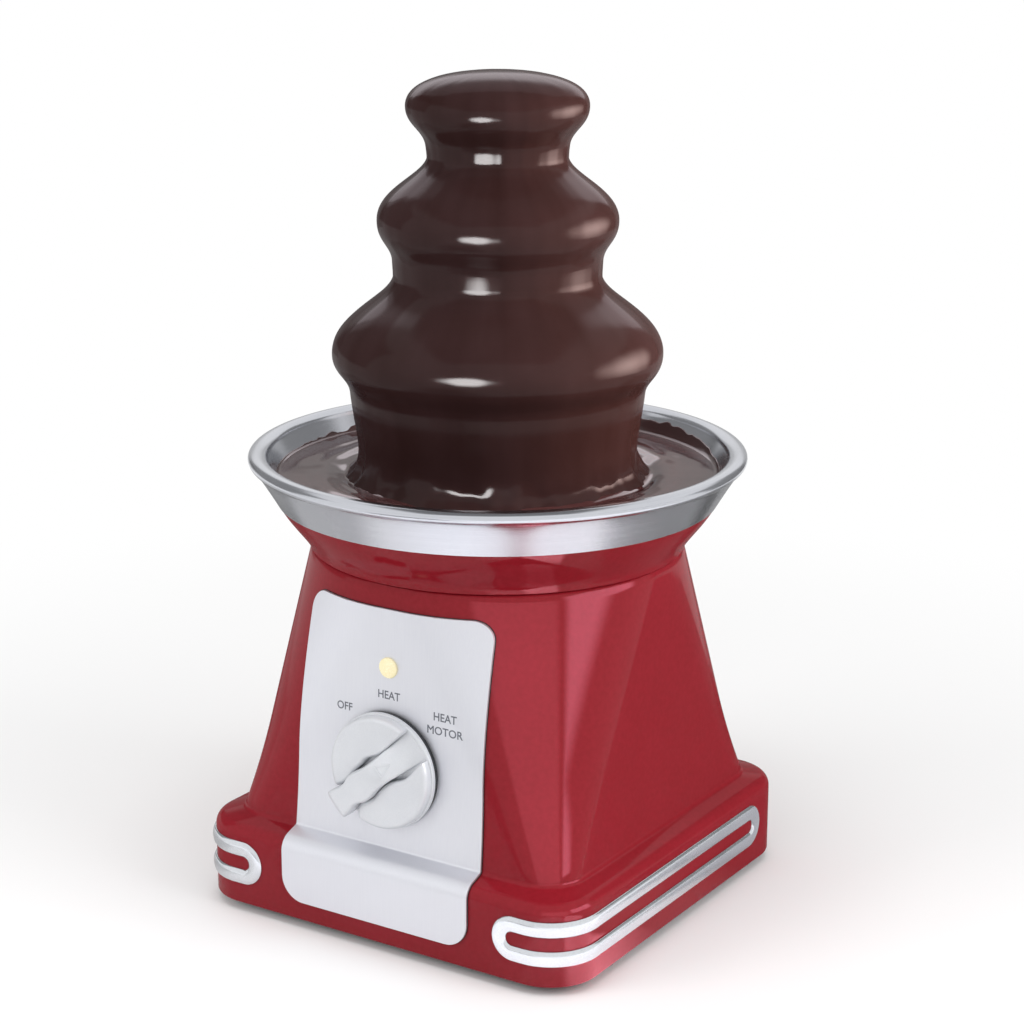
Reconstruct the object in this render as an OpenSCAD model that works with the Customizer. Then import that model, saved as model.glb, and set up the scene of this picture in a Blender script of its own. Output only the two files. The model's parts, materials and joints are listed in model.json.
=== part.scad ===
// Three-tier chocolate fountain: red moulded housing on a square plinth, steel bowl,
// stacked tower fed by a screw, gear motor, ring heater and a three-position switch.
// Rest: tower seated in the bowl, knob at HEAT MOTOR. +Z is up, the panel faces -Y.

/* [Housing] */
// Distance of the square plinth's sides from the bowl's rim, seen from above
plinth_in = 12; // [8:0.5:16]
// Height of the plinth from its lower edge to the ledge
plinth_h = 37; // [34:1:44]
// Corner radius of the plinth in plan
plinth_r = 22; // [18:1:28]
// Rounding of the plinth's upper edge
shoulder_r = 6; // [4:0.5:7]
// Slope of the ledge towards the plinth's edge
ledge_slope = 18; // [8:1:24]
// Gap between the floor and the plinth's lower edge
foot_gap = 4; // [3:0.5:6]
// Distance of the body's foot from the plinth's sides
body_in = 11; // [10:0.5:14]
// How far the body's foot flares out
body_flare = 1.7; // [1:0.1:2.5]
// Height of the flare
flare_h = 38; // [30:1:46]
// Corner radius of the body's foot
body_r = 18; // [14:1:24]
// Height of the body from the ledge to the neck
body_h = 118; // [112:1:126]
// Diameter of the round neck
neck_d = 163; // [160:1:164]
// Wall of the housing and of the collar
wall = 2.5; // [2:0.1:3]

/* [Bowl] */
// Outer diameter of the rolled rim
rim_d = 217.5; // [212:0.5:222]
// Height of the flared collar under the bowl
collar_h = 21; // [18:1:24]
// Distance of the collar's mouth from the rim
collar_in = 12.5; // [11:0.5:14]
// Height of the rim above the collar
rim_h = 23; // [21:1:26]
// Depth of the bowl from the rim to its floor
bowl_depth = 31; // [29:0.5:33]
// Sheet of the bowl
sheet = 1; // [0.8:0.1:1.4]
// Radius of the rolled rim
roll_r = 2.6; // [2.2:0.1:3.2]
// Depth of the chocolate's surface below the rim
pool_drop = 12; // [10:0.5:14]

/* [Tower] */
// Height of the tower's top above the rim
tower_h = 160.8; // [158:0.1:168]
// Diameter over the chocolate on the top tier
top_d = 78; // [74:1:84]
// Diameter over the chocolate on the middle tier
middle_d = 103.4; // [100:0.2:108]
// Diameter over the chocolate on the lower tier
lower_d = 142.6; // [138:0.2:148]
// Drop from the top to the widest point of the top tier
top_drop = 14.5; // [12:0.5:16]
// Drop from the top tier to the middle tier
middle_drop = 48.3; // [46:0.1:51]
// Drop from the middle tier to the lower tier
lower_drop = 57; // [55:0.5:60]
// Thickness of the flowing chocolate
film = 2; // [1.5:0.1:2.4]
// Sheet of the tiers
tier_t = 1.2; // [1:0.1:1.6]
// Outer diameter of the tube
tube_d = 44; // [42:0.5:45]
// Wall of the tube
tube_t = 2.2; // [1.8:0.1:2.6]

/* [Auger] */
// Pitch of the flight
auger_pitch = 28; // [24:1:32]
// Diameter of the core
auger_core_d = 16; // [14:0.5:18]
// Gap between the flight and the tube
auger_gap = 0.6; // [0.4:0.1:1]
// Width across the flats of the drive hexagon
hex_af = 6.8; // [6:0.2:6.8]

/* [Gear train] */
// Module of all gears
gear_m = 1; // [0.9:0.05:1]
// Teeth of the two pinions
pinion_n = 12; // [12:1:14]
// Teeth of the idler's large wheel
idler_n = 42; // [40:1:44]
// Teeth of the output wheel
output_n = 48; // [46:1:50]
// Width of the teeth
gear_t = 7; // [6:0.5:8]
// Play between two meshing teeth at the pitch circle
backlash = 0.2; // [0.15:0.01:0.3]
// Diameter of the drive shaft
drive_d = 8; // [8:0.1:9]
// Radial running clearance of shafts and bushes
run_gap = 0.05; // [0.03:0.01:0.08]

/* [Motor and heater] */
// Diameter of the rotor
rotor_d = 30; // [28:0.5:31]
// Height of the stator's stack
stack_h = 22; // [20:1:24]
// Diameter of the ring that the heating tube follows
heater_d = 104; // [102:0.5:106]
// Diameter of the heating tube
heater_tube_d = 6.4; // [5.6:0.1:6.8]

/* [Controls] */
// Width of the control panel
panel_w = 96; // [90:1:100]
// Thickness of the control panel
panel_t = 1.2; // [1:0.1:1.4]
// Height of the panel's lower edge above the plinth's lower edge
panel_low = 9; // [7:0.5:11]
// Distance of the panel's upper edge below the neck
panel_top = 10; // [8:0.5:12]
// Diameter of the knob
knob_d = 51; // [46:0.5:54]
// Height of the knob's axis above the plinth's lower edge
knob_z = 75.2; // [72:0.2:78]
// Height of the lamp above the plinth's lower edge
lamp_z = 119.7; // [117:0.2:122]
// Diameter of the lamp
lamp_d = 9; // [8:0.2:10]

/* [Trim and feet] */
// Height of the trim loops
trim_h = 20; // [18:0.5:21]
// Width of the trim's bar
trim_bar = 7; // [6:0.2:7.5]
// Height of the trim above the plinth's lower edge
trim_low = 9.5; // [8:0.5:10]
// How far the trim stands out of the plinth
trim_t = 1.6; // [1.2:0.1:2]
// Distance of the trim's front end from the middle
trim_front = 60; // [57:0.5:63]
// Distance of the trim's side end from the middle
trim_back = 70; // [60:0.5:72]
// Diameter of the feet
foot_d = 18; // [15:0.5:20]
// Bore of the cord gland
gland_bore_d = 7.2; // [6:0.2:8]

/* [Hidden] */
$fn = 96;
// gap between pieces that lie on one another
seat = 0.1;
// gap between pieces that pass one another
clear = 0.3;
// segments of a plan corner, of a curved path and across the panel
corner_n = 12;
path_n = 12;
panel_n = 20;

plinth_hw = rim_d / 2 - plinth_in;
body_hw = plinth_hw - body_in;
neck_hw = neck_d / 2;
// the plan corner at the neck is round but for a short flat
neck_r = neck_hw - 1;
z_low = foot_gap;
z_ledge = z_low + plinth_h;
z_neck = z_ledge + body_h;
z_collar = z_neck + collar_h;
z_rim = z_collar + rim_h;
z_floor = z_rim - bowl_depth;
z_pool = z_rim - pool_drop;
z_top = z_rim + tower_h;
// concave rounding between the ledge and the body
fillet = 2.5;
// upper end of the plinth's wall, and the sloping ledge from its shoulder to the fillet
z_wall = z_ledge - shoulder_r;
ledge_out = [plinth_hw - shoulder_r * (1 - sin(ledge_slope)), z_wall + shoulder_r * cos(ledge_slope)];
function ledge(x) = ledge_out[1] + (ledge_out[0] - x) * tan(ledge_slope);
z_body = ledge(body_hw + fillet * (1 - sin(ledge_slope))) + fillet * cos(ledge_slope);
collar_r = rim_d / 2 - collar_in;

// rows of the tier table: widest radius, its height, curtain radius, height where the curtain lands
tier_top = [top_d / 2, z_top - top_drop, 30.2, z_top - 36.5];
tier_middle = [middle_d / 2, tier_top[1] - middle_drop, 44.8, tier_top[1] - middle_drop - 24.5];
tier_lower = [lower_d / 2, tier_middle[1] - lower_drop, 60.4, z_pool + seat];
// height of the lip under each tier's widest point
lip_h = 17;

tube_r = tube_d / 2;
bore_r = tube_r - tube_t;
auger_r = bore_r - auger_gap;
tube_top = z_top - film - 6;
locator_gap = 0.4;
locator_r = tube_r + locator_gap + 3.6;

// gear train seen from above: output wheel on the axis, idler and motor behind it
idler_dir = 60;
motor_dir = 180;
idler_c = gear_m * (pinion_n + output_n) / 2;
motor_c = gear_m * (pinion_n + idler_n) / 2;
idler_at = idler_c * [cos(idler_dir), sin(idler_dir)];
motor_at = idler_at + motor_c * [cos(motor_dir), sin(motor_dir)];
gearbox_w = 84;
gearbox_y = 12;
post_in = 36;
plate_t = 3;
gearbox_low = z_floor - 54;
gearbox_high = z_floor - 25;
stage_one = gearbox_low + plate_t + 3;
stage_two = stage_one + gear_t + 3;
drive_r = drive_d / 2;
drive_low = gearbox_low - 3;
hex_low = z_floor + 6;
hex_high = z_floor + 20;
auger_low = hex_low;
auger_high = tube_top - 6;
hub_r = 9;
hanger_r = 3;

rotor_r = rotor_d / 2;
rotor_shaft_r = 2.5;
air_gap = 0.4;
stack_low = gearbox_low - 8 - stack_h;
bracket_low = stack_low - 9;
stator_hw = 26;
bolt_at = [for (x = [-21, 21], y = [-19, 20]) motor_at + [x, y]];
bolt_r = 1.8;

heater_r = heater_d / 2;
heater_tube_r = heater_tube_d / 2;
// hangers stand inside the ring of the heating tube
hanger_at = [for (a = [-146, -34, 90])
  (heater_r - heater_tube_r - hanger_r - 2.5) * [cos(a), sin(a)]];
heater_plate_t = 2;
heater_plate_low = z_floor - sheet - seat - heater_plate_t;
// tie rods stand inside the collar's tongue
tie_r = 2.5;
tie_gap = 3.7;
tie_at = (neck_hw - 2 * wall - clear - tie_gap - tie_r) / sqrt(2);

base_t = 3;
base_low = z_low + 2;
base_high = base_low + base_t;
boss_at = plinth_hw - 16;
boss_r = 5;
foot_at = (tie_at + boss_at) / 2;

knob_h = z_low + knob_z;
lamp_h = z_low + lamp_z;
// half width of the body at a height: straight to the neck, with a flare at its foot
body_line = body_hw - body_flare;
function face(z) =
  let (t = (z - z_body) / (z_neck - z_body), e = max(0, 1 - (z - z_body) / flare_h))
  body_line + (neck_hw - body_line) * t + body_flare * e * e;
lamp_face = face(lamp_h) + seat + panel_t;
spindle_r = 3;
switch_bush_r = 5;
knob_r = knob_d / 2;
// the knob clears the panel at its upper and lower edge
knob_back = max(face(knob_h - knob_r), face(knob_h + knob_r)) + seat + panel_t + clear;
grip_rise = 7;
knob_front = knob_back + grip_rise;
// thickness of the knob's flange, and the turn of its grip at HEAT MOTOR
flange_h = 2.4;
grip_turn = 41;
switch_r = 15;
nut_r = 8;
nut_back = max(face(knob_h - nut_r), face(knob_h + nut_r)) + 2 * seat + panel_t;

// points of an arc
function arc(c, r, a0, a1, n) =
  [for (i = [0:n]) let (a = a0 + (a1 - a0) * i / n) c + r * [cos(a), sin(a)]];

// points of a cubic curve with four control points
function curve(p, n = path_n) =
  [for (i = [0:n]) let (t = i / n, u = 1 - t)
    u * u * u * p[0] + 3 * u * u * t * p[1] + 3 * u * t * t * p[2] + t * t * t * p[3]];

function flip(v) = [for (i = [len(v) - 1:-1:0]) v[i]];
function unit(v) = v / norm(v);

// direction to the right of a path at one of its points, level at the two ends if asked
function side(p, i, level) =
  let (a = p[max(i - 1, 0)], b = p[min(i + 1, len(p) - 1)], t = unit(b - a))
  level && (i == 0 || i == len(p) - 1) ? [sign(t[1]) == 0 ? 0 : sign(t[1]), 0] : [t[1], -t[0]];

// a path moved to its right by a distance
function moved(p, d, level = false) = [for (i = [0:len(p) - 1]) p[i] + d * side(p, i, level)];

// a path without its first points
function tail(p, n) = [for (i = [n:len(p) - 1]) p[i]];

// the closed outline of a sheet that lies to the right of a path
function sheet_of(p, t, level = false) = concat(p, flip(moved(p, t, level)));

// a square with round corners, in plan
module rsquare(hw, r) {
  square([2 * hw, 2 * (hw - r)], center = true);
  square([2 * (hw - r), 2 * hw], center = true);
  for (x = [-1, 1], y = [-1, 1])
    translate([x * (hw - r), y * (hw - r)])
      circle(r);
}

// a rod along Z between two heights
module rod(r, z0, z1, at = [0, 0]) {
  translate([at[0], at[1], z0])
    cylinder(r = r, h = z1 - z0);
}

// a rod along the front to back direction, between two depths in front of the middle
module front_rod(r, d0, d1, h) {
  translate([0, -d0, h])
    rotate([90, 0, 0])
      cylinder(r = r, h = d1 - d0);
}

// a hole through the front wall at a height
module front_hole(r, h) {
  front_rod(r, face(h) - 12, face(h) + 6, h);
}

// one row of the housing's form: half width, height, corner radius
function ring(s) =
  [for (k = [0:3], i = [0:corner_n])
    let (a = 90 * k + 90 * i / corner_n, q = s[0] - s[2], c = [[q, q], [-q, q], [-q, -q], [q, -q]][k])
    [c[0] + s[2] * cos(a), c[1] + s[2] * sin(a), s[1]]];

// points of the plinth's shoulder and of the fillet above the ledge, moved out by a distance
function shoulder(d) =
  arc([plinth_hw - shoulder_r, z_wall], shoulder_r + d, 0, 90 - ledge_slope, 5);
function foot_fillet(d) =
  arc([body_hw + fillet, z_body], fillet - d, 270 - ledge_slope, 180, 3);
// heights of the body's rows: four in the flare, then the neck
body_heights = [for (i = [1:4]) z_body + flare_h * i / 4];
// one row of the body at a height, moved out by a distance: half width, height, corner radius
function body_row(z, d) =
  [face(z) + d, z, body_r + (neck_r - body_r) * (z - z_body) / (z_neck - z_body) + d];

// rows of the housing's form from the plinth's lower edge to the neck, outside and inside
function outer_rows() = concat(
  [[plinth_hw, z_low, plinth_r]],
  [for (p = shoulder(0)) [p[0], p[1], plinth_r - plinth_hw + p[0]]],
  [for (p = foot_fillet(0)) [p[0], p[1], body_r - body_hw + p[0]]],
  [for (z = body_heights) body_row(z, 0)],
  [body_row(z_neck, 0)]);
function inner_rows(d) = concat(
  [[plinth_hw - d, z_low, plinth_r - d]],
  [for (p = shoulder(-d)) [p[0], p[1], plinth_r - plinth_hw + p[0]]],
  [[body_line - d, ledge(body_line - d) - d / cos(ledge_slope), body_r - d]],
  [body_row(z_neck, -d)]);

// a shell whose rows run up its outside and down its inside
module shell(rows) {
  m = len(rows);
  n = 4 * (corner_n + 1);
  polyhedron(
    points = [for (s = rows, p = ring(s)) p],
    faces = [for (i = [0:m - 1], j = [0:n - 1])
      let (i2 = (i + 1) % m, j2 = (j + 1) % n)
      [i * n + j, i2 * n + j, i2 * n + j2, i * n + j2]]);
}

module housing() {
  color("firebrick")
    difference() {
      union() {
        shell(concat(outer_rows(), flip(inner_rows(wall))));
        for (x = [-1, 1], y = [-1, 1])
          rod(boss_r, base_high + seat, z_ledge + seat, boss_at * [x, y]);
      }
      for (x = [-1, 1], y = [-1, 1])
        rod(1.6, base_high, z_ledge - 12, boss_at * [x, y]);
      front_hole(switch_bush_r + 0.2, knob_h);
      front_hole(lamp_d / 2 + 0.2, lamp_h);
      translate([0, plinth_hw - 8, z_low + 18])
        rotate([-90, 0, 0])
          cylinder(r = 7 + seat, h = 16);
    }
}

// flared ring that carries the bowl, with a tongue inside the neck
module bowl_collar() {
  flare = curve([
    [neck_hw + 0.8, z_neck + seat], [neck_hw + 1.4, z_neck + 5],
    [collar_r - 5, z_collar - 9], [collar_r, z_collar]], 8);
  tongue = neck_hw - wall - clear;
  color("firebrick")
    rotate_extrude()
      polygon(concat(
        flare, flip(tail(moved(flare, -wall), 2)),
        [[tongue - wall, z_neck + 1.5], [tongue - wall, z_neck - 6], [tongue, z_neck - 6],
         [tongue, z_neck + seat]]));
}

// inside of the bowl from the hub hole to the rim
function bowl_inside() = concat(
  [[hub_r, z_floor]],
  curve([
    [rim_d / 2 - 36, z_floor], [rim_d / 2 - 23, z_floor],
    [rim_d / 2 - 14, z_rim - 16], [rim_d / 2 - 2 * roll_r, z_rim - roll_r]]));

// the bowl's sheet: floor, wall, rolled rim and the skirt that stands on the collar
module bowl() {
  rim_c = [rim_d / 2 - roll_r, z_rim - roll_r];
  path = concat(
    bowl_inside(),
    tail(arc(rim_c, roll_r, 180, -50, 10), 1),
    [[collar_r + 0.3, z_collar + seat]]);
  color("lightgray")
    rotate_extrude()
      polygon(sheet_of(path, sheet));
}

// rows of the panel, at a distance in front of the housing: half width of the housing,
// height, corner radius, half width of the panel
panel_low_z = z_low + panel_low;
panel_high_z = z_neck - panel_top;
panel_low_r = 11;
panel_high_r = 9;
// heights of the panel's rows between the flare and its upper corners
panel_heights = let (z0 = z_body + flare_h, z1 = panel_high_z - panel_high_r)
  [for (i = [1:8]) z0 + (z1 - z0) * i / 9];
function panel_half(z) = panel_w / 2 - 2 * max(0, z - z_ledge) / body_h;
function corner_cut(a, r) = r * (1 - sin(a));
function panel_rows(d) = concat(
  [for (a = [0:18:90]) [plinth_hw + d, panel_low_z + panel_low_r * (1 - cos(a)), plinth_r + d,
    panel_w / 2 - corner_cut(a, panel_low_r)]],
  [for (p = shoulder(d)) [p[0], p[1], plinth_r - plinth_hw + p[0], panel_w / 2]],
  [for (p = foot_fillet(d)) [p[0], p[1], body_r - body_hw + p[0], panel_w / 2]],
  [for (z = concat(body_heights, panel_heights)) concat(body_row(z, d), [panel_half(z)])],
  [for (a = [90:-18:0]) let (z = panel_high_z - panel_high_r * (1 - cos(a)))
    concat(body_row(z, d), [panel_half(z) - corner_cut(a, panel_high_r)])]);
// depth of a row's outline at a distance from the middle
function row_depth(s, x) =
  let (q = s[0] - s[2], e = max(0, abs(x) - q))
  q + sqrt(s[2] * s[2] - e * e);
function panel_points(d) =
  [for (s = panel_rows(d), j = [0:panel_n])
    let (x = s[3] * (2 * j / panel_n - 1)) [x, -row_depth(s, x), s[1]]];

module control_panel() {
  front = panel_points(seat + panel_t);
  back = panel_points(seat);
  w = panel_n + 1;
  m = len(front) / w - 1;
  o = len(front);
  color("gainsboro")
    difference() {
      polyhedron(
        points = concat(front, back),
        faces = concat(
          [for (i = [0:m - 1], j = [0:panel_n - 1], k = [0, 1]) let (p = i * w + j)
            k == 0 ? [p, p + w, p + w + 1] : [p, p + w + 1, p + 1]],
          [for (i = [0:m - 1], j = [0:panel_n - 1], k = [0, 1]) let (p = o + i * w + j)
            k == 0 ? [p, p + 1, p + w + 1] : [p, p + w + 1, p + w]],
          [for (j = [0:panel_n - 1], k = [0, 1])
            k == 0 ? [j, j + 1, o + j + 1] : [j, o + j + 1, o + j]],
          [for (j = [0:panel_n - 1], k = [0, 1]) let (p = m * w + j)
            k == 0 ? [p + 1, p, o + p] : [p + 1, o + p, o + p + 1]],
          [for (i = [0:m - 1], k = [0, 1]) let (p = i * w)
            k == 0 ? [p + w, p, o + p] : [p + w, o + p, o + p + w]],
          [for (i = [0:m - 1], k = [0, 1]) let (p = i * w + panel_n)
            k == 0 ? [p, p + w, o + p + w] : [p, o + p + w, o + p]]));
      front_hole(switch_bush_r + 0.2, knob_h);
      front_hole(lamp_d / 2 + 0.2, lamp_h);
    }
}

// one end of a trim loop, lying on a face that looks to the front
module trim_end() {
  rotate([90, 0, 0])
    linear_extrude(trim_t - seat)
      difference() {
        circle(trim_h / 2);
        circle(trim_h / 2 - trim_bar);
        translate([0, -trim_h])
          square([2 * trim_h, 2 * trim_h]);
      }
}

// loop of bright bar round a front corner of the plinth
module trim(s) {
  front_x = trim_front + trim_h / 2;
  end_y = trim_back - trim_h / 2;
  mid = z_low + trim_low + trim_h / 2;
  color("silver")
    mirror([s < 0 ? 1 : 0, 0, 0]) {
      for (z = [z_low + trim_low, z_low + trim_low + trim_h - trim_bar])
        translate([0, 0, z])
          linear_extrude(trim_bar)
            intersection() {
              difference() {
                rsquare(plinth_hw + trim_t, plinth_r + trim_t);
                rsquare(plinth_hw + seat, plinth_r + seat);
              }
              union() {
                translate([front_x, -plinth_hw - 10])
                  square([60, plinth_hw - 20]);
                translate([plinth_hw - 40, -plinth_hw + 20])
                  square([60, end_y + plinth_hw - 20]);
              }
            }
      translate([front_x, -plinth_hw - seat, mid])
        trim_end();
      translate([plinth_hw + seat, end_y, mid])
        mirror([0, 1, 0])
          rotate([0, 0, 90])
            trim_end();
    }
}
module trim_left() { trim(-1); }
module trim_right() { trim(1); }

// domed lens of the pilot lamp, its stem in the panel's hole
module lamp_lens() {
  dome = 12;
  r = lamp_d / 2;
  top = lamp_face + 1.4;
  color("khaki")
    intersection() {
      front_rod(r, face(lamp_h) - wall - 2, top, lamp_h);
      translate([0, -top + dome, lamp_h])
        sphere(dome);
    }
}

module lamp_holder() {
  color("ivory")
    front_rod(lamp_d / 2 + 1.5, face(lamp_h) - wall - 22, face(lamp_h) - wall - 2.4, lamp_h);
}

// body of the three-position switch behind the front wall, with its threaded neck and blades
module rotary_switch() {
  front = min(face(knob_h - switch_r), face(knob_h + switch_r)) - wall - 1;
  back = front - 25;
  color("dimgray")
    difference() {
      union() {
        front_rod(switch_r, back, front, knob_h);
        front_rod(switch_bush_r, front - 1, nut_back + 2.2, knob_h);
        for (x = [-9, 9], z = [-5, 5])
          translate([x - 0.4, -back - 1, knob_h + z - 3])
            cube([0.8, 11, 6]);
      }
      front_rod(spindle_r + run_gap, back + 6, nut_back + 5, knob_h);
    }
}

module switch_nut() {
  color("silver")
    difference() {
      translate([0, -nut_back, knob_h])
        rotate([90, 0, 0])
          cylinder(r = nut_r, h = 1.8, $fn = 6);
      front_rod(switch_bush_r + seat, nut_back - 1, nut_back + 4, knob_h);
    }
}

module switch_spindle() {
  color("silver")
    front_rod(spindle_r, face(knob_h) - wall - 18, knob_front - 1, knob_h);
}

// half of the knob's grip along its length, as shares of the knob's radius: waisted, then a square tail
grip = [[0.7, 0.265], [0.47, 0.25], [0.16, 0.23], [-0.08, 0.243], [-0.27, 0.262], [-0.47, 0.288],
  [-0.67, 0.296], [-0.86, 0.27], [-1.04, 0.238], [-1.08, 0.205]];
// outline of the grip up to a tip, or of the channel for it with a gap on both sides
function grip_outline(tip, gap) =
  let (half = concat([[tip, 0.27]], grip))
  concat([for (p = half) knob_r * p + [0, gap]], [for (p = flip(half)) [knob_r * p[0], -knob_r * p[1] - gap]]);

// knob: a flange, two raised half faces and a grip that climbs between them to its tail
module knob() {
  face_r = knob_r - 0.8;
  color("gainsboro")
    translate([0, -knob_back, knob_h])
      rotate([90, 0, 0])
        difference() {
          union() {
            cylinder(r = knob_r, h = flange_h);
            difference() {
              union() {
                cylinder(r = face_r, h = 5);
                translate([0, 0, 5])
                  cylinder(r1 = face_r, r2 = face_r - 2.4, h = grip_rise - 5);
              }
              rotate([0, 0, grip_turn])
                translate([0, 0, flange_h])
                  linear_extrude(grip_rise)
                    polygon(grip_outline(1.2, 0.4));
            }
            rotate([0, 0, grip_turn])
              intersection() {
                linear_extrude(grip_rise + 7)
                  polygon(grip_outline(0.94, 0));
                rotate([90, 0, 0])
                  linear_extrude(2 * knob_r, center = true)
                    polygon([[knob_r, 1], [knob_r, 4.2], [knob_r * 0.55, 7], [knob_r * 0.16, 10.4],
                      [-knob_r * 0.1, 11], [-knob_r, 11], [-knob_r * 1.04, 10.2], [-knob_r * 1.1, 8],
                      [-knob_r * 1.1, 3], [-knob_r * 0.9, 1]]);
              }
          }
          translate([0, 0, -1])
            cylinder(r = 10, h = flange_h);
          translate([0, 0, -1])
            cylinder(r = spindle_r + 0.02, h = knob_front - knob_back + 0.1);
        }
}

module bottom_plate() {
  slot_n = 5;
  color("darkslategray")
    difference() {
      translate([0, 0, base_low])
        linear_extrude(base_t)
          rsquare(plinth_hw - wall - clear, plinth_r - wall - clear);
      for (x = [-1, 1], y = [-1, 1]) {
        rod(1.6, base_low - 1, base_high + 1, boss_at * [x, y]);
        rod(tie_r + seat, base_low - 1, base_high + 1, tie_at * [x, y]);
      }
      for (i = [0:slot_n - 1], y = [-36, 14])
        translate([-30 + 60 * i / (slot_n - 1) - 2, y, base_low - 1])
          cube([4, 22, base_t + 2]);
    }
}

// rubber foot under the bottom plate
module foot(x, y) {
  color("black")
    rod(foot_d / 2, 0, base_low - seat / 2, foot_at * [x, y]);
}

// screws that hold the bottom plate to the housing's bosses
module plate_screws() {
  color("silver")
    for (x = [-1, 1], y = [-1, 1]) {
      rod(1.5, base_low - seat, z_ledge - 16, boss_at * [x, y]);
      rod(3.2, base_low - seat - 1.6, base_low - seat, boss_at * [x, y]);
    }
}

// rods that draw the bowl down onto the collar and the bottom plate up into the plinth
module tie_rods() {
  color("silver")
    for (x = [-1, 1], y = [-1, 1])
      rod(tie_r, base_low - 3, z_floor - sheet - seat, tie_at * [x, y]);
}

module tie_nuts() {
  color("goldenrod")
    for (x = [-1, 1], y = [-1, 1])
      difference() {
        translate([tie_at * x, tie_at * y, base_low - seat - 2.4])
          cylinder(r = 4.6, h = 2.4, $fn = 6);
        rod(tie_r + seat / 2, base_low - 5, base_low + 1, tie_at * [x, y]);
      }
}

// rubber gland of the mains cord at the back of the plinth
module cord_gland() {
  color("black")
    translate([0, 0, z_low + 18])
      rotate([-90, 0, 0])
        difference() {
          union() {
            translate([0, 0, plinth_hw - 8])
              cylinder(r = 7, h = 12);
            translate([0, 0, plinth_hw + seat])
              cylinder(r1 = 9.5, r2 = 8, h = 7);
            translate([0, 0, plinth_hw - wall - seat - 3])
              cylinder(r = 9, h = 3);
          }
          translate([0, 0, plinth_hw - 20])
            cylinder(r = gland_bore_d / 2, h = 40);
        }
}

// block of screw terminals on the bottom plate
module terminal_block() {
  color("ivory")
    difference() {
      translate([-26, plinth_hw - 36, base_high + seat / 2])
        cube([40, 16, 14]);
      for (i = [0:3])
        rod(2, base_high + 6, base_high + 20, [-21 + 10 * i, plinth_hw - 28]);
    }
}

// aluminium ring under the bowl's floor that spreads the heat
module heater_plate() {
  color("silver")
    difference() {
      rod(heater_r + 12, heater_plate_low, heater_plate_low + heater_plate_t);
      rod(24, heater_plate_low - 1, heater_plate_low + heater_plate_t + 1);
      for (p = hanger_at)
        rod(hanger_r + clear, heater_plate_low - 1, heater_plate_low + heater_plate_t + 1, p);
    }
}

// heating tube below the plate, open at the back, with its two terminals
module heating_tube() {
  z = heater_plate_low - seat - heater_tube_r;
  open = 40;
  color("dimgray")
    rotate([0, 0, 90 + open / 2]) {
      rotate_extrude(angle = 360 - open)
        translate([heater_r, z])
          circle(heater_tube_r, $fn = 24);
      for (a = [3, 360 - open - 3])
        rotate([0, 0, a])
          rod(1.8, z - 10, z, [heater_r, 0]);
    }
}

module thermostat() {
  color("ivory") {
    rod(8, heater_plate_low - seat - 8, heater_plate_low - seat, [-34, 0]);
    for (y = [-4, 4])
      translate([-34.4, y - 2, heater_plate_low - seat - 14])
        cube([0.8, 4, 7]);
  }
}

module thermal_fuse() {
  color("tan")
    translate([34, -9, heater_plate_low - seat - 3])
      rotate([-90, 0, 0])
        cylinder(r = 3, h = 18);
}

// screen between the heater and the gearbox, carried on the hangers
module heat_shield() {
  low = gearbox_high + plate_t + 3;
  color("silver")
    difference() {
      rod(heater_r + 9, low, low + 0.8);
      rod(drive_r + 2, low - 1, low + 2);
      for (p = hanger_at)
        rod(hanger_r + seat / 2, low - 1, low + 2, p);
    }
}

// one plate of the gearbox
module gearbox_plate(low) {
  difference() {
    translate([0, gearbox_y, low])
      linear_extrude(plate_t)
        rsquare(gearbox_w / 2, 8);
    rod(drive_r + run_gap, low - 1, low + plate_t + 1);
    rod(2.5 + seat / 2, low - 1, low + plate_t + 1, idler_at);
    children();
  }
}

module gearbox_top() {
  color("slategray")
    gearbox_plate(gearbox_high);
}

module gearbox_bottom() {
  color("slategray")
    gearbox_plate(gearbox_low) {
      rod(rotor_shaft_r + run_gap, gearbox_low - 1, gearbox_low + plate_t + 1, motor_at);
      for (p = bolt_at)
        rod(bolt_r + seat, gearbox_low - 1, gearbox_low + plate_t + 1, p);
    }
}

module gearbox_posts() {
  color("silver")
    for (x = [-1, 1], y = [-1, 1])
      rod(4, gearbox_low + plate_t, gearbox_high, [x * post_in, gearbox_y + y * post_in]);
}

// rods that hang the gearbox under the bowl
module gearbox_hangers() {
  color("silver")
    for (p = hanger_at)
      rod(hanger_r, gearbox_high + plate_t, z_floor - sheet - seat / 2, p);
}

// laminated stator with the rotor's bore and a window for the coil
module motor_stator() {
  color("gray")
    translate([motor_at[0], motor_at[1], stack_low])
      linear_extrude(stack_h)
        difference() {
          translate([-stator_hw, -24])
            square([2 * stator_hw, 62]);
          circle(rotor_r + air_gap);
          translate([-16, 18])
            square([32, 10]);
          for (x = [-21, 21], y = [-19, 20])
            translate([x, y])
              circle(bolt_r + seat);
        }
}

// winding round the stator's outer leg
module motor_coil() {
  color("orange")
    translate([motor_at[0], motor_at[1], stack_low - 6])
      difference() {
        translate([-14, 20, 0])
          cube([28, 24, stack_h + 12]);
        translate([-20, 28 - clear, 6 - clear])
          cube([40, 10 + 2 * clear, stack_h + 2 * clear]);
      }
}

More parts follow.
